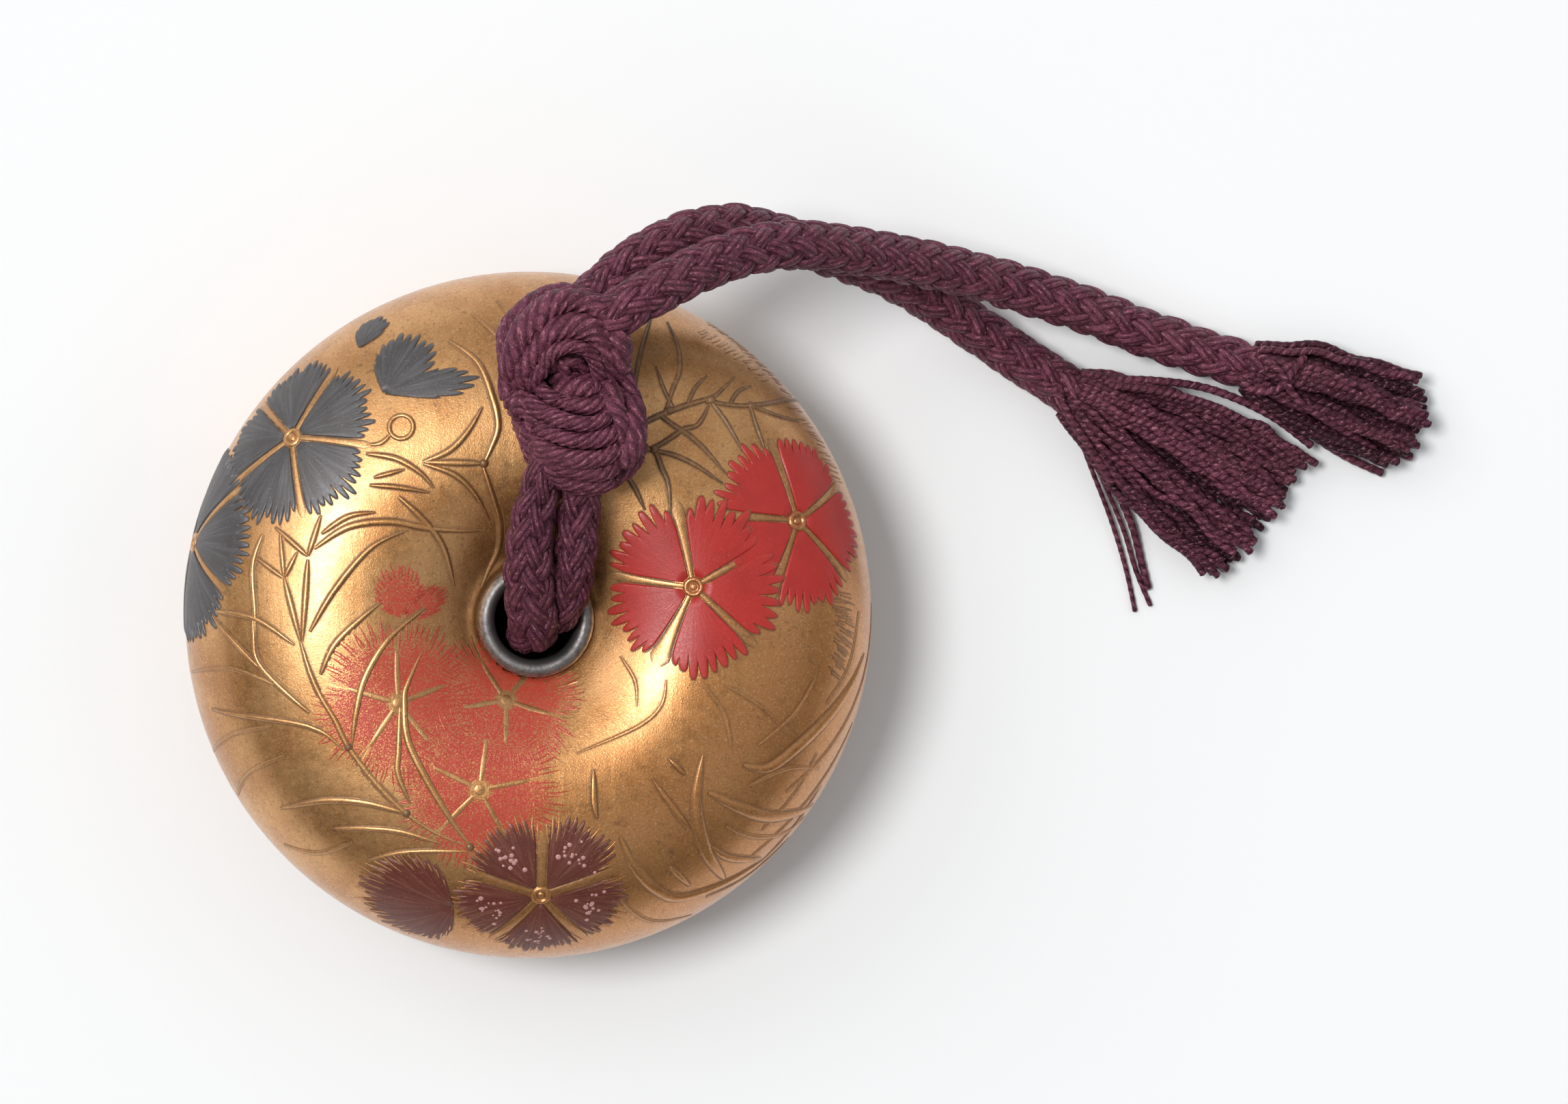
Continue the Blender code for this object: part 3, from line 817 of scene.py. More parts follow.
def make_knot(silk):
    shape = Shape(tone=1.0)
    around = circle(40)
    rise = np.radians(np.linspace(-89, 89, 24))[:, None]
    level, height = np.cos(rise), np.sin(rise) + 0 * around
    ball = np.stack([level * np.cos(around), level * np.sin(around), height], axis=-1)
    # The dark core: painted shade that shows in the gaps between the turns.
    for centre, half_sizes in (*KNOT_LOBES, KNOT_FILL):
        points = np.array(centre) + ball * (np.array(half_sizes) - KNOT_CORE_DEPTH)
        shape.grid(points, wrap=True, yarn=0.0, along=0.0, tone=0.3)
    for seed, (radius, depth, points) in enumerate(KNOT_TURNS):
        plan = smooth_line(points, 0.2)
        line = on_knot(plan[:, 0], plan[:, 1], depth + 0.75 * radius)
        add_knot_turn(shape, line, radius, seed)
    angle = np.linspace(0, TURN, 90)
    for lobe, (centre, half_sizes) in enumerate(KNOT_LOBES):
        half = np.array(half_sizes) - KNOT_SIDE_DEPTH
        for row, drop in enumerate(KNOT_SIDE_DROPS):
            level = math.sqrt(1 - (drop / half_sizes[2]) ** 2)
            x = centre[0] + level * half[0] * np.cos(angle)
            y = centre[1] + level * half[1] * np.sin(angle)
            height = centre[2] - drop * half[2] / half_sizes[2] + 0.35 * np.sin(angle + 2.0 * row)
            seed = KNOT_SIDE_SEED + 5 * lobe + row
            add_knot_turn(shape, np.stack([x, y, height], axis=-1), KNOT_SIDE_RADIUS, seed)
    return shape.piece("cord_knot_wraps", silk, "purple_silk", "cord_knot")


PLY_PITCH = 1.2
YARN_STEP = 0.17
TASSEL_YARN = 0.25
# The yarns fan out evenly at first and then gather into locks.
YARNS_IN_LOCK = 6
LOCK_GATHER = 0.58
STRAY_TONE = 0.75


def add_yarn(shape, line, radius, seed, shift, tone):
    """A two-ply yarn: two round plies twisted about each other."""
    _, side, up = carried_frames(line)
    pitch = PLY_PITCH * (1 + 0.2 * math.sin(7 * seed))
    twist = 2 * distances(line) * TURN / pitch + seed
    add_strand(shape, line, side, up, radius, radius, 2, twist, 8, 0.09, shift, tone)


def spread_out(count):
    """Evenly spread places in a disc of radius 1, a little denser toward its edge."""
    turn = np.arange(count) * math.pi * (3 - math.sqrt(5))
    out = ((np.arange(count) + 0.5) / count) ** 0.42
    return np.stack([out * np.cos(turn), out * np.sin(turn)], axis=1)


# Stray yarns: their radius and route.
FRONT_STRAYS = [
    (0.27, [(47.6, 15.6, 3.4), (48.6, 14.6, 3.9), (50.2, 14.6, 4.2), (51.2, 15.6, 4), (52.4, 17, 3.3)]),
    (0.27, [(49, 16.9, 3.6), (50.3, 15.9, 4.2), (51.6, 14, 4), (53.6, 12.6, 3.4), (57.4, 10.4, 2.2)]),
    (0.27, [(50.4, 13.6, 2.6), (52.6, 11.8, 1.7), (55.3, 10.1, 1), (58.2, 8.8, 0.5)]),
    (0.27, [(51, 13.8, 2.8), (53, 12.3, 2), (55.7, 10.7, 1.2), (58.5, 9.3, 0.6)]),
    (0.30, [(53.6, 12.4, 1.9), (55.6, 11.6, 1.4), (57.8, 10.7, 0.9), (60.2, 9.9, 0.6)]),
]
REAR_STRAYS = [
    (0.27, [(36.2, 15.8, 2.6), (35.8, 14.4, 3.4), (36.4, 12.8, 3.5), (37.8, 10.8, 3), (39.6, 8, 2.2)]),
    (0.16, [(36.9, 12.4, 2), (38.1, 9.4, 1.4), (39.5, 6, 0.7), (40.6, 2.6, 0.3), (41.3, -0.6, 0.25)]),
    (0.16, [(37.3, 12, 1.9), (39, 8.4, 1.2), (40.4, 5.2, 0.6), (41.3, 2.4, 0.3), (42.4, -0.2, 0.25)]),
    (0.26, [(38.2, 11.4, 1.9), (39.9, 7.8, 1.3), (41, 5.4, 0.7), (41.6, 3.2, 0.4), (42.2, 0.9, 0.35)]),
    (0.27, [(38.6, 15.2, 2.6), (42, 15.2, 2.6), (46, 14.6, 2.4), (50, 12.9, 2.2), (53.2, 10.6, 1.6)]),
    (0.27, [(38.8, 14.9, 2.9), (42.4, 14.5, 3), (46.4, 13.4, 2.6), (50.2, 11.4, 2), (53.6, 9.4, 1.4)]),
]
# Each tassel's sections, number of yarns, how much shorter those at its sides are, strays, seed and tone,
# which is partly painted shade: the tassels lie darker than the tails, the front one darkest.
TASSELS = {
    "front": (FRONT_TASSEL, 60, 0.12, FRONT_STRAYS, 5, 0.24),
    "rear": (REAR_TASSEL, 80, 0.04, REAR_STRAYS, 8, 0.48),
}


def make_tassel(end, silk):
    """Loose yarns that leave the braid's end together and fan out to uneven ends, and a few strays."""
    sections, count, shorter, strays, seed, tone = TASSELS[end]
    rng = np.random.default_rng(seed)
    spine = smooth_line(sections, YARN_STEP)
    along = distances(spine)
    forward = ahead(spine[:, :3])
    side = unit(np.cross(forward, [0.0, 0.0, 1.0]))
    up = np.cross(side, forward)
    shape = Shape()
    locks = spread_out(count // YARNS_IN_LOCK)
    lock_tones = tone + rng.uniform(-0.20, 0.20, len(locks))
    for u, v in spread_out(count) + rng.uniform(-0.04, 0.04, (count, 2)):
        nearest = np.argmin(np.hypot(locks[:, 0] - u, locks[:, 1] - v))
        lock = locks[nearest]
        keep = along <= along[-1] * rng.uniform(0.92, 1.0) * (1 - shorter * u * u)
        part = along[keep]
        drift = part / along[-1]
        phase = rng.uniform(0, TURN, 4)
        sway = 0.06 * drift * np.sin(part * rng.uniform(0.4, 0.8) + phase[0])
        sway = sway + 0.03 * np.sin(part * rng.uniform(1.2, 2.2) + phase[1])
        heave = 0.12 * drift * np.sin(part * rng.uniform(0.6, 1.2) + phase[2])
        gather = LOCK_GATHER * np.minimum(1.6 * drift, 1.0)
        across = (spine[keep, 3] - TASSEL_YARN) * (u + gather * (lock[0] - u) + sway)
        above = (spine[keep, 4] - TASSEL_YARN) * (v + gather * (lock[1] - v) + heave)
        line = spine[keep, :3] + side[keep] * across[:, None] + up[keep] * above[:, None]
        line[:, 2] = np.maximum(line[:, 2], TASSEL_YARN * 1.15)
        # Painted shade: a tassel's lower yarns are darker; the rest is random tone by lock and yarn.
        shade = np.clip(lock_tones[nearest] + 0.45 * v + rng.uniform(-0.28, 0.28), 0.05, 1.0)
        add_yarn(shape, line, TASSEL_YARN, phase[3], 2.0 * len(shape.points), shade)
    for i, (radius, points) in enumerate(strays):
        add_yarn(shape, smooth_line(points, YARN_STEP), radius, i, 2.0 * (count + i), STRAY_TONE)
    return shape.piece(f"tassel_{end}_yarns", silk, "purple_silk", f"tassel_{end}")


def make_cords(silk):
    """The two free tails and the loop, each a braided cord, with the knot and the tassels on them."""
    knot = make_knot(silk)
    tassels = {end: make_tassel(end, silk) for end in TASSELS}
    for end, route, seed in (("front", FRONT_TAIL, 5), ("rear", REAR_TAIL, 4)):
        braid = (np.array(route), np.full(len(route), CORD_RADIUS), 0.4, seed, 0.98)
        make_cord(f"tail_{end}_braid", silk, f"cord_tail_{end}", braid)
    # The loop is darker than the tails: painted shade, as its legs lie under the knot.
    route = loop_route()
    make_cord("loop_braid", silk, "cord_loop", (route[:, :3], route[:, 3], 0.2, 3, 0.77))


def make_cord(name, silk, node, braid):
    shape = Shape()
    line = add_braid(shape, *braid)
    shape.piece(name, silk, "purple_silk", node)


# ---------------------------------------------------------------- bowl, eyelet, lid


def make_bowl(gold):
    """The hollow bowl: its outside, the flat foot, the mouth with its ledge, and the hollow."""
    outside = outside_at(np.arange(EYELET_RADIUS, LAST, 0.25))[:2]
    low = (HOLLOW_RADIUS - LEDGE_RADIUS, WIDEST_HEIGHT - LEDGE_TOP)
    high = (HOLLOW_RADIUS - CREST_RADIUS, CEILING_HEIGHT - WIDEST_HEIGHT)
    profile = np.vstack(
        [
            (HOLE_RADIUS, SEAT_HEIGHT),
            np.transpose(outside),
            [(FOOT_RADIUS, 0.0), (MOUTH_RADIUS + 0.1, 0.0), (MOUTH_RADIUS, 0.1)],
            [(MOUTH_RADIUS, LEDGE_BOTTOM), (LEDGE_RADIUS, LEDGE_BOTTOM)],
            ellipse(LEDGE_RADIUS, WIDEST_HEIGHT, *low, -90, 0, 14),
            ellipse(CREST_RADIUS, WIDEST_HEIGHT, *high, 0, 90, 16)[1:],
            dimple(HOLE_RADIUS, INNER_DIMPLE_DEPTH, CEILING_HEIGHT, 10)[::-1][1:],
            (HOLE_RADIUS, SEAT_HEIGHT),
        ]
    )
    shape = Shape(ink=0.0, sprinkle=0.0)
    revolve(shape, profile, 320)
    shape.piece("bowl_lacquer", gold, "gold_lacquer", "bowl")


def make_eyelet(metal):
    """The metal lining of the cord hole: a round rim, a tube and a flange inside."""
    rim_bottom = SEAT_HEIGHT + GAP
    middle = (EYELET_RADIUS + EYELET_BORE) / 2
    half_width = (EYELET_RADIUS - EYELET_BORE) / 2
    flange_top = CEILING_HEIGHT - INNER_DIMPLE_DEPTH - GAP
    rim = ellipse(middle, rim_bottom, half_width, EYELET_RIM, 180, 0, 25)
    tube = [
        (EYELET_TUBE, rim_bottom),
        (EYELET_TUBE, flange_top),
        (FLANGE_RADIUS, flange_top),
        (FLANGE_RADIUS, flange_top - FLANGE),
        (EYELET_BORE, flange_top - FLANGE),
    ]
    profile = np.vstack([rim, tube, rim[:1]])
    worn = np.zeros(len(profile))
    worn[:25] = np.linspace(0.0, 1.0, 25) ** 3
    shape = Shape()
    revolve(shape, profile, 160, rim=worn[:, None])
    shape.piece("eyelet_ring", metal, "eyelet_metal", "eyelet")


def make_lid(metal):
    """The lid: a disc with turned rings on its face, and the wire staple on its back."""
    edge = LID_RADIUS - LID_CHAMFER
    radius = np.linspace(edge, 0.05, 90)
    face = LID_LIFT + 0.10 * np.minimum(1.0, (edge - radius) / (0.5 * edge))
    for height, place, width in ((0.10, 0.86, 0.25), (0.06, 0.80, 0.18)):
        face += height * np.exp(-(((radius - place * edge) / width) ** 2))
    back = [(0.05, LID_TOP), (edge, LID_TOP), (LID_RADIUS, LID_TOP - LID_CHAMFER)]
    back.append((LID_RADIUS, LID_LIFT + LID_CHAMFER))
    shape = Shape(rim=0.0)
    revolve(shape, np.vstack([back, np.column_stack([radius, face])]), 160)
    buried = LID_TOP - STAPLE_ROOT
    arch = ellipse(0.0, STAPLE_TOP - STAPLE_RADIUS, STAPLE_RADIUS, STAPLE_RADIUS, 0, 180, 14)
    points = np.vstack([(STAPLE_RADIUS, buried), arch, (-STAPLE_RADIUS, buried)])
    turn = LOOP_AZIMUTH + math.pi / 2
    line = smooth_line([(x * math.cos(turn), x * math.sin(turn), z) for x, z in points], 0.3)
    _, side, up = carried_frames(line, (math.cos(LOOP_AZIMUTH), math.sin(LOOP_AZIMUTH), 0.0))
    angle = circle(16)
    wire = STAPLE_WIRE * tapered(len(line), 1)[:, None]
    add_tube(shape, line, side, up, wire * np.cos(angle), wire * np.sin(angle), True)
    shape.piece("lid_disc", metal, "lid_metal", "lid")


# ---------------------------------------------------------------- flowers and grasses


# A petal's rows reach its whole part over this much of the way, and run into its teeth over the rest.
WHOLE_ROWS = 0.7
PETALS = 5
PETAL_TURN = 360 / PETALS
# How much larger than its flower a drawing's place on the bowl is.
SPOT_MARGIN = 1.3


class Petal:
    """One fringed petal's outline, in polar measures from its flower's centre. The gap at each side is
    as wide as gap at the centre and opens by that side's flare toward the fringe."""

    def __init__(self, heading, half_angle, radius, teeth, fringe, columns, rng, gap, flares, bud=False):
        self.heading = heading
        self.half_angle = half_angle
        self.radius = radius
        self.gap = gap
        self.across = np.linspace(-1, 1, columns)
        self.flare = np.interp(self.across, [-1, 1], flares)
        phase = (self.across + 1) / 2 * teeth
        tooth = np.minimum(phase.astype(int), teeth - 1)
        slit = np.abs(2 * (phase - tooth) - 1) ** rng.uniform(1.8, 3.6, teeth)[tooth]
        deep = fringe * rng.uniform(0.45, 1.2, 2 * teeth)[2 * tooth + (phase - tooth > 0.5)]
        long = rng.uniform(0.92, 1.05, teeth)[tooth]
        shoulders = 1 - 0.13 * np.abs(self.across) ** 4
        if bud:
            shoulders = np.cos(self.across * 0.49 * math.pi) ** 0.4
        self.outline = radius * shoulders * (1 - (1 - long) * (1 - slit) - deep * slit)
        self.whole = radius * shoulders * (0.96 - fringe)

    def at(self, t, grow, first):
        """Reach and heading of the points at t, 0 to 1 outward, in every column. The rows are round
        up to the petal's whole part, and follow its teeth outside it."""
        outer = self.outline + grow
        inner = np.clip(t / WHOLE_ROWS, 0, 1)[:, None]
        toothed = np.clip((t - WHOLE_ROWS) / (1 - WHOLE_ROWS), 0, 1)[:, None]
        whole = np.minimum(np.maximum(self.whole, first), outer)
        reach = first + (whole - first) * inner + np.maximum(outer - whole, 0.02) * toothed
        gap = self.gap + self.flare * np.minimum(reach / self.radius, 1) ** 2
        half_gap = np.arcsin(np.clip((gap / 2 - grow) / np.maximum(reach, 0.35), -0.9, 0.9))
        return reach, self.heading + self.across * (self.half_angle - half_gap)


# For each kind of petal: how deep its fringe is cut, the points across it, the gap between two petals at
# the centre, and how far the veins reach as a part of the flower's radius.
KINDS = {
    "grey": (0.22, 121, 0.45, 0.95),
    "red": (0.26, 101, 0.45, 0.95),
    "brown": (0.20, 121, 0.70, 0.95),
    "sprinkled": (0.30, 81, 0.50, 0.68),
}
BUD_FRINGE = 0.25
# A lacquered petal: its rows outward, the heights of the columns nearest its sides as parts of the
# whole, and the heights of the dark line, the cushion, its crown and the ground of an upper flower.
PETAL_ROWS = np.array(
    [0, 0.01, 0.12, 0.26, 0.4, 0.52, 0.62, 0.7, 0.76, 0.82, 0.88, 0.92, 0.95, 0.97, 0.985, 1, 1]
)
SIDE_HEIGHTS = np.array([0.0, 0.55, 0.9])
INK_LIFT = 0.018
PETAL_LIFT = 0.10
PETAL_CROWN = 0.04
OVER_LIFT = 0.12
# A sprinkled petal's hairs: their lift off the bowl, how dark they are and how red.
RED_HAIRS = (0.02, 0.25, 0.66)


def rounded(u):
    """1 in the middle of a rounded section, and nothing from its edges at -1 and 1 on."""
    return np.sqrt(np.maximum(1 - u**2, 0))


def add_cushion(shape, spot, petal, order, ground, first):
    """A petal as a thin raised cushion on its ground, whose fringe ends in a wall down to the bowl."""
    reach, heading = petal.at(PETAL_ROWS, 0.0, first)
    drop = np.clip((1 - PETAL_ROWS) / 0.08, 0, 1) ** 0.5
    edge = np.ones(len(petal.across))
    edge[:3] = SIDE_HEIGHTS
    edge[-3:] = SIDE_HEIGHTS[::-1]
    crown = PETAL_CROWN * np.sin(math.pi * PETAL_ROWS * 0.9)[:, None] * (1 - petal.across**2)
    start = np.clip(PETAL_ROWS / 0.01, 0, 1)
    height = ground + (PETAL_LIFT + crown) * (drop * start)[:, None] * edge
    height[-1] = -0.02
    across = petal.across * petal.half_angle + 5.0 * order
    shape.grid(spot.place(reach, heading, height), along=PETAL_ROWS[:, None], across=across)


def add_ink(shape, spot, petal, strength, first, lift):
    """The dark line that shows round a petal: the petal's outline a little larger, just off the gold."""
    reach, heading = petal.at(np.array([0, 0.35, 0.7, 0.8, 0.9, 1]), 0.06, first)
    shape.grid(spot.place(reach, heading, lift), ink=strength)


def add_dome(shape, spot, reach, heading, radius, height, **values):
    """A small round boss at a polar place from the spot."""
    ring = circle(16)
    rows = np.linspace(0.02, 1.0, 6)[:, None]
    x = reach * math.cos(heading) + radius * rows * np.cos(ring)
    y = reach * math.sin(heading) + radius * rows * np.sin(ring)
    lift = (height + 0.02) * rounded(rows) - 0.02
    shape.grid(spot.place(np.hypot(x, y), np.arctan2(y, x), lift), True, **values)


def add_ring(shape, spot, radius, width, height, sprinkle=0.0):
    """A small raised ring round the spot, with a dark line outside and inside it."""
    angle = circle(40)
    u = np.array([-1.5, -1.1, -0.9, -0.5, 0, 0.5, 0.9, 1.1, 1.5])[:, None]
    reach = np.maximum(radius + u * width / 2, 0.02)
    ink = np.where(np.abs(u) == 1.1, 0.7, 0.0)
    points = spot.place(reach, angle, INK_LIFT + 0.01 + height * rounded(u))
    shape.grid(points, True, ink=ink, sprinkle=sprinkle)


# The places across a blade, 1 at its edges and more on the dark line beside it. A fine stroke has fewer.
BLADE_ACROSS = np.array([-1.8, -1.3, -1, -0.86, -0.5, 0, 0.5, 0.86, 1, 1.3, 1.8])
STROKE_ACROSS = np.array([-2.0, -1.0, 0.0, 1.0, 2.0])


def add_blade(shape, points, width, height, ink, root, dark=0.0, outline=0.17):
    """A raised blade or stem on the bowl: round across, thin at both ends or full at its root, and as
    dark as dark says, with a line of ink each side."""
    u = BLADE_ACROSS if width > 0.2 else STROKE_ACROSS
    line = smooth_line(points, 0.25)
    along = distances(line)
    t = along / along[-1]
    swell = np.sin(math.pi * np.clip(t + 0.08 * root, 0, 1)) ** 0.5 * (1 - 0.3 * t)
    swell = np.maximum(np.maximum(swell, root * (1 - t) ** 2), 0.08)
    apron = np.sign(u) * np.maximum(np.abs(u) - 1, 0) * outline
    offset = np.clip(u, -1, 1) * (width / 2 * swell)[:, None] + apron
    lift = INK_LIFT + 0.006 + height * rounded(u) * np.minimum(swell * 1.3, 1.0)[:, None]
    shade = np.interp(np.abs(u), [0, 0.7, 1.0, 1.3, 1.8], [dark, dark, ink, ink, 0.0])
    place = line[:, None] + to_left(line)[:, None] * offset[..., None]
    shape.grid(on_map(place, lift), ink=shade)


def add_hatch(shape, points, length, count, ink, rng):
    """A row of fine strokes side by side across a line, all leaning one way, as grass far off is drawn."""
    line = smooth_line(points, 0.2)
    for i in np.linspace(0, len(line) - 1, count).astype(int):
        side = to_left(line)[i]
        start = line[i] + rng.uniform(-0.35, 0.35) * side
        size = length * rng.uniform(0.5, 1.1)
        tip = start + size * (side + rng.uniform(0.28, 0.52) * ahead(line)[i])
        stroke = [start, (start + tip) / 2, tip]
        add_blade(shape, stroke, width=0.07, height=0.010, ink=ink, root=0.6, dark=ink, outline=0.05)


FLOWERS = [
    # kind, x, y on the map, radius, first gap's heading in degrees, teeth, how far each gap opens outward
    ("grey", -16.8, 12.6, 5.8, -8, 12, (0.2, 0.2, 0.2, 0.2, 0.2)),
    ("grey", -26.2, 5.8, 6.6, 33, 12, (0.2, 0.2, 0.2, 0.2, 0.2)),
    ("red", 17.9, 6.7, 6.0, 32, 9, (0.3, 0.4, 0.3, 0.6, 0.4)),
    ("red over", 10.7, 2.3, 5.9, 29, 8, (0.2, 0.5, 0.3, 1.4, 0.3)),
    ("sprinkled", -9.6, -5.6, 5.4, 20, 13, (0, 0, 0, 0, 0)),
    ("sprinkled", -2.1, -5.5, 4.9, 50, 13, (0, 0, 0, 0, 0)),
    ("sprinkled", -4.0, -11.5, 5.5, 10, 13, (0, 0, 0, 0, 0)),
    ("brown", 0.3, -18.8, 5.6, 90, 12, (0.3, 0.1, 0.2, 0.2, 0.1)),
]
BUDS = [
    # kind, x, y of the base, heading and half angle in degrees, length, teeth
    ("grey", -10.4, 15.4, 64, 50, 4.8, 13),
    ("grey", -10.4, 15.4, 10, 19, 6.2, 7),
    ("grey", -12.4, 19.2, 72, 42, 3.2, 7),
    ("grey", -26.8, 1.2, 0, 40, 4, 10),
    ("sprinkled", -9.2, 0.4, 105, 60, 3.3, 11),
    ("sprinkled", -9.2, 0.4, 28, 32, 3.1, 7),
    ("brown", -5.7, -19.8, 184, 84, 6.4, 26),
]


# How a petal is laid on: how far from the centre its lacquer, its dark line or its red grains start, how
# dark the line is, the height of the lacquer's ground, the grains' lift and how much higher the next
# petal's grains lie, and the numbers of pale dots and of hairs.
FLOWER_STYLE = {
    "lacquer": 0.7, "line": 1.3, "grains": 0.35, "ink": 0.85, "ground": INK_LIFT,
    "lift": 0.008, "step": 0.0012, "dots": 16, "brown hairs": 14, "sprinkled hairs": 16,
}
BUD_STYLE = {
    "lacquer": 0.15, "line": 0.1, "grains": 0.1, "ink": 0.8, "ground": 0.0,
    "lift": 0.010, "step": 0.0, "dots": 0, "brown hairs": 30, "sprinkled hairs": 18,
}


class Painting:
    """The painted flowers and buds, and the gold line work that goes round them."""

    def __init__(self):
        self.rng = np.random.default_rng(21)
        self.lacquer = {kind: Shape() for kind in ("grey", "red", "brown")}
        self.gold = Shape(ink=0.0, sprinkle=0.0)
        self.sheets = []
        self.petals = 0
        for number, flower in enumerate(FLOWERS):
            self.add_flower(number, *flower)
        for number, bud in enumerate(BUDS, len(FLOWERS)):
            self.add_bud(number, *bud)
        add_sprinkled(self.gold, self.sheets)

    def add_petal(self, kind, number, spot, petal, style, over=0.0):
        """Lays on a petal of this flower or bud: red grains, or lacquer with a dark line round it."""
        self.petals += 1
        if kind == "sprinkled":
            lift = style["lift"] + style["step"] * self.petals
            self.sheets.append((number, *sprinkled_sheet(spot, petal, style["grains"], lift)))
            add_hairs(self.gold, spot, petal, style["sprinkled hairs"], self.rng, *RED_HAIRS)
            return
        add_ink(self.gold, spot, petal, style["ink"], style["line"], INK_LIFT + over)
        add_cushion(self.lacquer[kind], spot, petal, self.petals, style["ground"] + over, style["lacquer"])
        if kind == "brown":
            add_dots(self.lacquer[kind], spot, petal, style["dots"], self.rng)
            add_hairs(self.gold, spot, petal, style["brown hairs"], self.rng, PETAL_LIFT)

    def add_flower(self, number, kind, x, y, radius, gap_heading, teeth, flares):
        over = OVER_LIFT if kind.endswith(" over") else 0.0
        kind = kind.split()[0]
        fringe, columns, gap, veins = KINDS[kind]
        spot = Spot(x, y, radius * SPOT_MARGIN)
        for k in range(PETALS):
            heading = math.radians(gap_heading + PETAL_TURN * (k + 0.5))
            place = (heading, math.radians(PETAL_TURN / 2), radius)
            sides = (flares[k], flares[(k + 1) % PETALS])
            petal = Petal(*place, teeth, fringe, columns, self.rng, gap, sides)
            self.add_petal(kind, number, spot, petal, FLOWER_STYLE, over)
        spot.ground = over
        for k in range(PETALS):
            # An upper flower's first vein stops where the flower lies on the next one.
            stops = bool(over) and k == 0
            length = veins * radius * (0.55 if stops else 1.0)
            fade = 0.6 if stops or kind == "sprinkled" else 0.1
            height = 0.05 if kind == "sprinkled" else 0.06
            heading = math.radians(gap_heading + PETAL_TURN * k)
            add_vein(self.gold, spot, heading, length, 0.85 * gap, 0.85 * flares[k], height, fade)
        if kind == "sprinkled":
            add_dome(self.gold, spot, 0.0, 0.0, radius=0.45, height=0.08, ink=0.1)
            return
        reddish = 0.46 if kind == "red" else 0.0
        add_ring(self.gold, spot, radius=0.50, width=0.32, height=0.15, sprinkle=reddish)
        add_dome(self.gold, spot, 0.0, 0.0, radius=0.28, height=0.13, sprinkle=reddish)

    def add_bud(self, number, kind, x, y, heading, half_angle, length, teeth):
        spot = Spot(x, y, length * SPOT_MARGIN)
        place = (math.radians(heading), math.radians(half_angle), length)
        petal = Petal(*place, teeth, BUD_FRINGE, KINDS[kind][1], self.rng, 0.0, (0, 0), bud=True)
        self.add_petal(kind, number, spot, petal, BUD_STYLE)

    def make_pieces(self, finishes):
        for kind, shape in self.lacquer.items():
            shape.piece(f"{kind}_petals", finishes[kind], f"{kind}_lacquer")


def add_vein(shape, spot, heading, length, width, flare, height, fade):
    """The low gold rib between two petals: it widens by its flare, has a thin dark line each side, and
    thins out over its last part."""
    t = np.linspace(0, 1, 24)[:, None]
    reach = 0.6 + (length - 0.6) * t
    u = np.array([-1.0, -0.8, -0.55, 0.0, 0.55, 0.8, 1.0])
    half = (width * (0.8 + 0.4 * t) + flare * t**2) / 2 * np.clip((1 - t) / fade, 0.15, 1) ** 0.5
    lift = INK_LIFT + 0.004 + height * rounded(u) * np.clip((1 - t) / 0.25, 0.1, 1)
    # The rib's middle is a little dark too: partly its own dull tone, partly painted shade that dims it.
    ink = np.interp(np.abs(u), [0.0, 0.55, 1.0], [0.12, 0.20, 0.75])
    shape.grid(spot.place(reach, heading + u * half / reach, lift), ink=ink)


def add_dots(shape, spot, petal, count, rng):
    """A cluster of pale dots on a petal."""
    for _ in range(count):
        reach = petal.radius * np.clip(0.64 + 0.08 * rng.standard_normal(), 0.4, 0.82)
        turn = petal.heading + 0.16 * rng.standard_normal()
        size = rng.uniform(0.14, 0.30)
        add_dome(shape, spot, reach, turn, size, 0.17 + 0.05 * size, along=2.0, across=0.0)


def add_hairs(shape, spot, petal, count, rng, lift, ink=0.0, sprinkle=0.0):
    """Fine strokes that run out over a petal's fringe: gold, or dark red where they are sprinkled."""
    t = np.linspace(0, 1, 6)[:, None]
    u = np.array([-1.0, 0.0, 1.0])
    half = 0.05 * np.array([0.4, 0.9, 1.0, 0.9, 0.6, 0.2])[:, None]
    height = lift + 0.03 - (lift + 0.01) * t**3 + 0.02 * (1 - np.abs(u))
    for column in np.linspace(2, len(petal.across) - 3, count).astype(int):
        turn = petal.heading + petal.across[column] * (petal.half_angle - 0.04) + rng.uniform(-0.02, 0.02)
        reach = np.linspace(rng.uniform(0.72, 0.82), rng.uniform(1.0, 1.10), 6)[:, None] * petal.radius
        reach = reach * petal.whole[column] / np.max(petal.whole)
        heading = turn + rng.uniform(-0.05, 0.05) * t**2 + u * half / reach
        shape.grid(spot.place(reach, heading, height), ink=ink, sprinkle=sprinkle)


def sprinkled_sheet(spot, petal, first, lift):
    """A petal of red grains: its points and how dense the grains are there, dense in the middle and
    thinning out to a hair-like fringe."""
    t = np.array([0, 0.06, 0.12, 0.2, 0.3, 0.4, 0.5, 0.6, 0.68, 0.74, 0.8, 0.86, 0.92, 0.96, 1])
    inner = np.clip(t / 0.08, 0, 1)[:, None]
    outer = np.interp(t, [0, 0.55, 0.75, 0.92, 1], [1, 1, 0.93, 0.80, 0])[:, None]
    side = np.clip((1 - np.abs(petal.across)) / 0.06, 0.3, 1)
    return spot.place(*petal.at(t, 0.25, first), lift), 0.62 * inner * outer * side


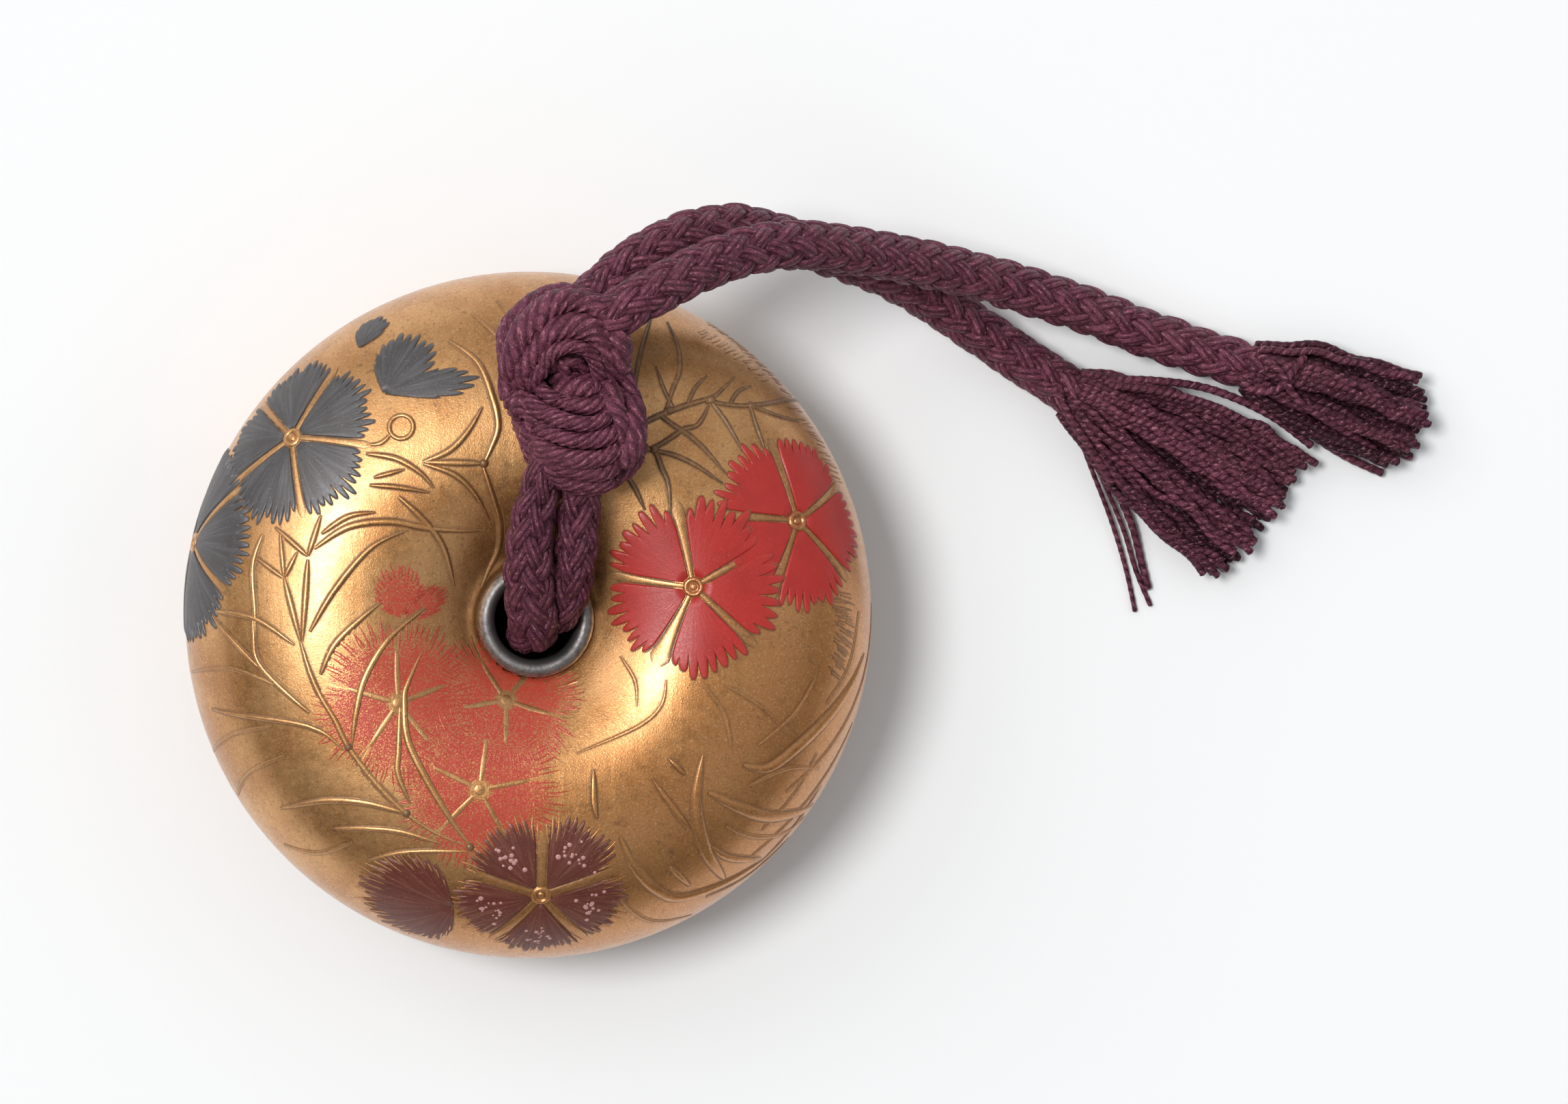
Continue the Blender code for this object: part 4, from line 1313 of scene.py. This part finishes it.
def add_sprinkled(shape, sheets):
    """Adds the sprinkled petals. Where two flowers overlap, both are as dense as the denser one."""
    points = np.concatenate([sheet.reshape(-1, 3) for _, sheet, _ in sheets])
    density = np.concatenate([dense.ravel() for _, _, dense in sheets])
    owners = np.concatenate([np.full(dense.size, number) for number, _, dense in sheets])
    tree = KDTree(len(points))
    for i, point in enumerate(points):
        tree.insert(point, i)
    tree.balance()
    joined = density.copy()
    for i, point in enumerate(points):
        for _, other, _ in tree.find_range(point, 0.24):
            if owners[other] != owners[i]:
                joined[i] = max(joined[i], density[other])
    start = 0
    for _, sheet, dense in sheets:
        shape.grid(sheet, sprinkle=joined[start:start + dense.size].reshape(dense.shape))
        start += dense.size


BLADES = [
    # width, then x, y points on the map from the root to the tip
    (0.55, [(-3.7, 10.8), (-3.2, 11.8), (-2.7, 13.2), (-3, 15), (-4, 17.5), (-6, 19.2)]),
    (0.55, [(-3.8, 10.7), (-3.1, 8.6), (-2.6, 6.9), (-2.6, 4.9), (-3.2, 3.3), (-3.6, 2.1)]),
    (0.5, [(-3.7, 10.8), (-5.9, 10.8), (-7.8, 10.8)]),
    (0.45, [(-7.8, 10.8), (-6, 11.6), (-4.7, 12.9), (-3.7, 14.5)]),
    (0.45, [(-7.8, 10.7), (-5.7, 10), (-4.3, 8.7), (-3.2, 6.7)]),
    (0.45, [(-11.6, 11.3), (-9.6, 11), (-8, 10.1), (-7.1, 9.1)]),
    (0.32, [(-11.1, 9.7), (-9, 10.3)]),
    (0.38, [(-11.4, 9.2), (-9.5, 9.1), (-7.4, 8.8)]),
    (0.55, [(-9.5, 8.5), (-7.9, 7), (-6.6, 5.2), (-5.7, 2.4)]),
    (0.55, [(-15.1, 4.9), (-12.8, 6.4), (-10.1, 6.8), (-7.5, 6.4), (-3.6, 6.2)]),
    (0.4, [(-14.6, 5.9), (-12.8, 7.1), (-11, 7.4)]),
    (0.4, [(-15.5, 4.4), (-14.6, 7.2)]),
    (0.4, [(-15.5, 4.4), (-17.8, 6.4)]),
    (0.45, [(-15.5, 4.2), (-15.9, -1.4)]),
    (0.34, [(-17.1, 2.9), (-17.4, 6.1)]),
    (0.34, [(-17.1, 2.9), (-19.4, 4.5)]),
    (0.34, [(-17.1, 2.9), (-16.2, 4.7)]),
    (0.45, [(-17.1, 2.9), (-16, -1.4)]),
    (0.45, [(-18.7, 5.9), (-19.4, 3.7), (-19.2, 0.6), (-19.2, -1.5)]),
    (0.45, [(-22.6, 0.6), (-19.1, 0.1), (-16.4, -1.6)]),
    (0.45, [(-15.4, -0.7), (-13.8, 2.1), (-11.4, 5), (-8.9, 6.3)]),
    (0.52, [
        (-16, -1.4), (-15.4, -3.4), (-14.7, -5), (-13.7, -6.7), (-12.8, -8.5), (-10.9, -11), (-8.9, -13),
        (-6.8, -14.4), (-4.5, -15.3)]),
    (0.48, [(-14.7, -3.6), (-13.8, -1.6), (-12.2, 0.1), (-10.8, 1.3)]),
    (0.55, [(-12.6, -8.5), (-12.3, -5.9), (-11.7, -3.6), (-10.2, -1.1), (-7.8, 0.9)]),
    (0.45, [(-13.1, -8.7), (-14.7, -7.4), (-17.4, -6.8), (-23.5, -6.6)]),
    (0.45, [(-15.4, -6.2), (-18.8, -3.1), (-19.3, -1), (-19.3, 1.2)]),
    (0.4, [(-18.8, -3.3), (-22.9, 0.3)]),
    (0.55, [(-8.9, -13), (-11.7, -12.3), (-14.6, -12.3), (-17.9, -13.3)]),
    (0.45, [(-6.5, -15.1), (-9.1, -14.3), (-11.6, -14.1), (-14, -14.3)]),
    (0.4, [(-4.8, -15.6), (-7.3, -15.6), (-9.4, -15.8), (-11.5, -16.5)]),
    (0.62, [(-4.5, -15.3), (-5.8, -13.6), (-7.5, -10.9), (-8.9, -8.1), (-9.2, -5.4), (-9, -4.3), (-8, -2)]),
    (0.5, [(-8.6, -12.4), (-9.5, -10.3), (-9.5, -8.7), (-9.5, -5.7)]),
    (0.55, [(4, -13.5), (3.8, -12.3), (3.8, -10.2)]),
    (1.0, [(13.7, -18.8), (12, -16.5), (11.1, -14.3), (10.8, -12), (11.2, -9.2)]),
    (0.6, [(10.5, -14.4), (9.1, -12.6), (7.8, -10.8)]),
    (0.45, [(10, -10.5), (8.9, -9.4)]),
    (1.0, [(11.6, -11.7), (13.9, -12.9), (16.8, -14), (21.6, -14.5)]),
    (1.0, [(14, -9.9), (15.9, -10.2), (18.1, -8.9), (20.9, -6.8), (23.3, -4.6), (24.7, -2.8)]),
    (0.6, [(12.1, -15.7), (13.6, -16.8), (16.8, -17.8)]),
    (0.85, [(5.6, -14.7), (6.7, -16.9), (8.3, -18.7), (10.3, -19.8), (13.9, -19.3), (17.3, -18.2)]),
    (0.45, [(9.1, -16.9), (10.9, -18.8)]),
]
# The dark marks at the stems' joints.
JOINTS = [
    (-3.7, 10.8), (-12.8, -8.5), (-8.9, -13), (-4.6, -15.3), (9, 14.2), (12, 15), (15.1, 14.8), (7.9, 11.6),
]
HAIRLINES = [
    [(17.6, -12.2), (21, -9.8), (23.8, -6.8), (25.8, -3.2), (26.6, 1)],
    [(15.2, -17.6), (18.8, -14.8), (21.8, -11.8), (24.6, -8.2)],
    [(14.5, -11.4), (17.4, -10.4), (20.6, -10.9)],
    [(16, -15), (18.4, -12.6), (20, -9.6)],
    [(17.2, -18.4), (19.6, -15.8), (21.6, -12.6)],
    [(13, -14.2), (15.4, -15.4), (18.6, -16), (21, -15.4)],
    [(12.6, -20.4), (16.4, -19.6), (20, -17.2)],
    [(5, -17.4), (6.2, -19.8), (8.6, -22), (12.2, -22.8)],
    [(20.4, -6), (22.6, -3.4), (23.6, 0.4)],
    [(15, -8.6), (17.6, -6.6), (19.2, -4.2)],
    [(-12.6, -15.2), (-15.4, -16.6), (-18.4, -16.8)],
    [(-17.2, -9.2), (-20.4, -11), (-22.8, -13.8)],
    [(-18, -7.2), (-21.5, -8.2), (-25.4, -10.8)],
    [(-17.6, -4.4), (-21.4, -3.4), (-26.2, -4.2)],
    [(-1.6, 17.6), (-2.6, 19.4), (-4.4, 21.4)],
    [(-0.8, 17.9), (-1.2, 20), (-2.6, 22.6)],
    [(12.7, -4.4), (15.3, -6), (16.9, -7.7)],
    [(11.5, -4.6), (12.7, -6.4), (13.2, -8.7)],
    [(5.8, -2.5), (6.8, -4.2), (6.9, -6)],
    [(8.9, -4.1), (8.5, -5.9), (6.8, -7.4), (2.7, -9.2)],
]
TWIGS = [
    # width, then points, under the knot and to its right
    (0.42, [(5.6, 12.8), (7, 13.3), (8.4, 13.9), (10, 14.5), (12.1, 15.2), (13.1, 16), (14.2, 17)]),
    (0.36, [(11.6, 14.9), (13.4, 14.7), (15.1, 14.8), (17.6, 15.5), (21.8, 17.2)]),
    (0.38, [(8.3, 13.9), (9.2, 13.2), (10.3, 12.5), (11.4, 11.5), (12.8, 9.9)]),
    (0.40, [(7.7, 11.6), (8.8, 12.2), (9.9, 12.9), (11, 13.3), (12, 15)]),
    (0.40, [(5.8, 11.5), (7, 11.6), (7.9, 11.5), (8.4, 10.4), (8.9, 9.2), (9.1, 6.9)]),
    (0.34, [(7.9, 11.5), (9.2, 11.2), (10.7, 10.5), (12.6, 9.2)]),
    (0.32, [(6.1, 9.9), (6.7, 9), (7.4, 7.6)]),
    (0.32, [(8.7, 14), (9.2, 15.5), (9.9, 17.1), (10, 18.9), (9.6, 21.2)]),
    (0.30, [(11.9, 15), (12.9, 13.6), (14.1, 11.4)]),
    (0.28, [(15, 14.8), (15.2, 13.6), (15.8, 11.4)]),
    (0.28, [(15, 14.8), (17.1, 14.3), (19.4, 14.2)]),
    (0.28, [(6.6, 15.8), (7, 17.6), (7.6, 19.4), (8.5, 21.6)]),
    (0.26, [(9.2, 14.4), (8.6, 15.8), (8.2, 17.3)]),
    (0.26, [(10.2, 14.5), (10.9, 15.8), (11.9, 16.8)]),
    (0.26, [(13.4, 14.8), (14.2, 15.8), (15.4, 16.4)]),
]
HATCHES = [
    # points along the row, the strokes' length and number, and how dark they are
    ([(13.6, 22.6), (15.6, 21), (17.6, 18.8), (19.4, 16.6)], 1.5, 34, 0.30),
    ([(12, 20.6), (14.6, 19), (16.8, 17.2)], 1.3, 22, 0.22),
    ([(19.6, 16.4), (21.8, 13.6), (23.6, 10)], -1.3, 22, 0.26),
    ([(20.8, 1.4), (21.1, -0.4), (20.9, -2.2), (20.6, -3.8)], 1.3, 30, 0.75),
    ([(21.5, 1.8), (21.8, -0.4), (21.6, -2), (21.3, -3.2)], 1.2, 24, 0.70),
]


def make_grasses(shape, finish):
    """The raised gold grasses and twigs, in one piece with the flowers' line work."""
    rng = np.random.default_rng(4)
    for width, points in BLADES:
        add_blade(shape, points, width, height=0.13 + 0.04 * width, ink=0.74, root=0.12)
    for x, y in JOINTS:
        add_dome(shape, Spot(x, y, 1.0), 0.0, 0.0, radius=0.32, height=0.24, ink=0.85)
    for points in HAIRLINES:
        add_blade(shape, points, width=0.26, height=0.04, ink=0.46, root=0.1, dark=0.12)
    # The twigs are dark through: partly their own darker line work, partly painted shade of the knot beside
    # them.
    for width, points in TWIGS:
        add_blade(shape, points, 0.85 * width, height=0.08, ink=1.0, root=0.95, dark=0.70, outline=0.15)
    for points, length, count, ink in HATCHES:
        add_hatch(shape, points, length, count, ink, rng)
    # A tendril ends in a ring, between a grey bud and the grasses.
    add_ring(shape, Spot(-9.2, 13.1, 1.6), radius=0.78, width=0.26, height=0.10)
    tendril = [(-9.9, 12.6), (-10.6, 12.0), (-11.6, 11.9)]
    add_blade(shape, tendril, width=0.3, height=0.10, ink=0.6, root=0.6)
    shape.piece("gold_grasses", finish, "raised_gold")


def main():
    silk = silk_finish()
    gold = gold_finish()
    red = ((0.45, 0.020, 0.014), (0.50, 0.08, 0.06))
    grey = ((0.096, 0.086, 0.086), (0.25, 0.25, 0.26))
    brown = ((0.130, 0.028, 0.018), (0.36, 0.17, 0.10))
    finishes = {
        "red": petal_finish("red_lacquer", *red, 0.40, 0.0, 0.05, Specular_IOR_Level=0.54),
        "grey": petal_finish("grey_lacquer", *grey, 0.42, 0.45, 0.40),
        "brown": petal_finish("brown_lacquer", *brown, 0.40, 0.10, 0.42, (0.54, 0.28, 0.26)),
    }
    make_camera()
    make_cords(silk)
    make_floor()
    make_light()
    make_bowl(gold)
    make_eyelet(metal_finish("eyelet_metal", (0.195, 0.180, 0.175), (0.48, 0.44, 0.40), 0.46))
    make_lid(metal_finish("lid_metal", (0.16, 0.12, 0.09), (0.40, 0.30, 0.20), 0.34))
    painting = Painting()
    painting.make_pieces(finishes)
    make_grasses(painting.gold, gold)


main()
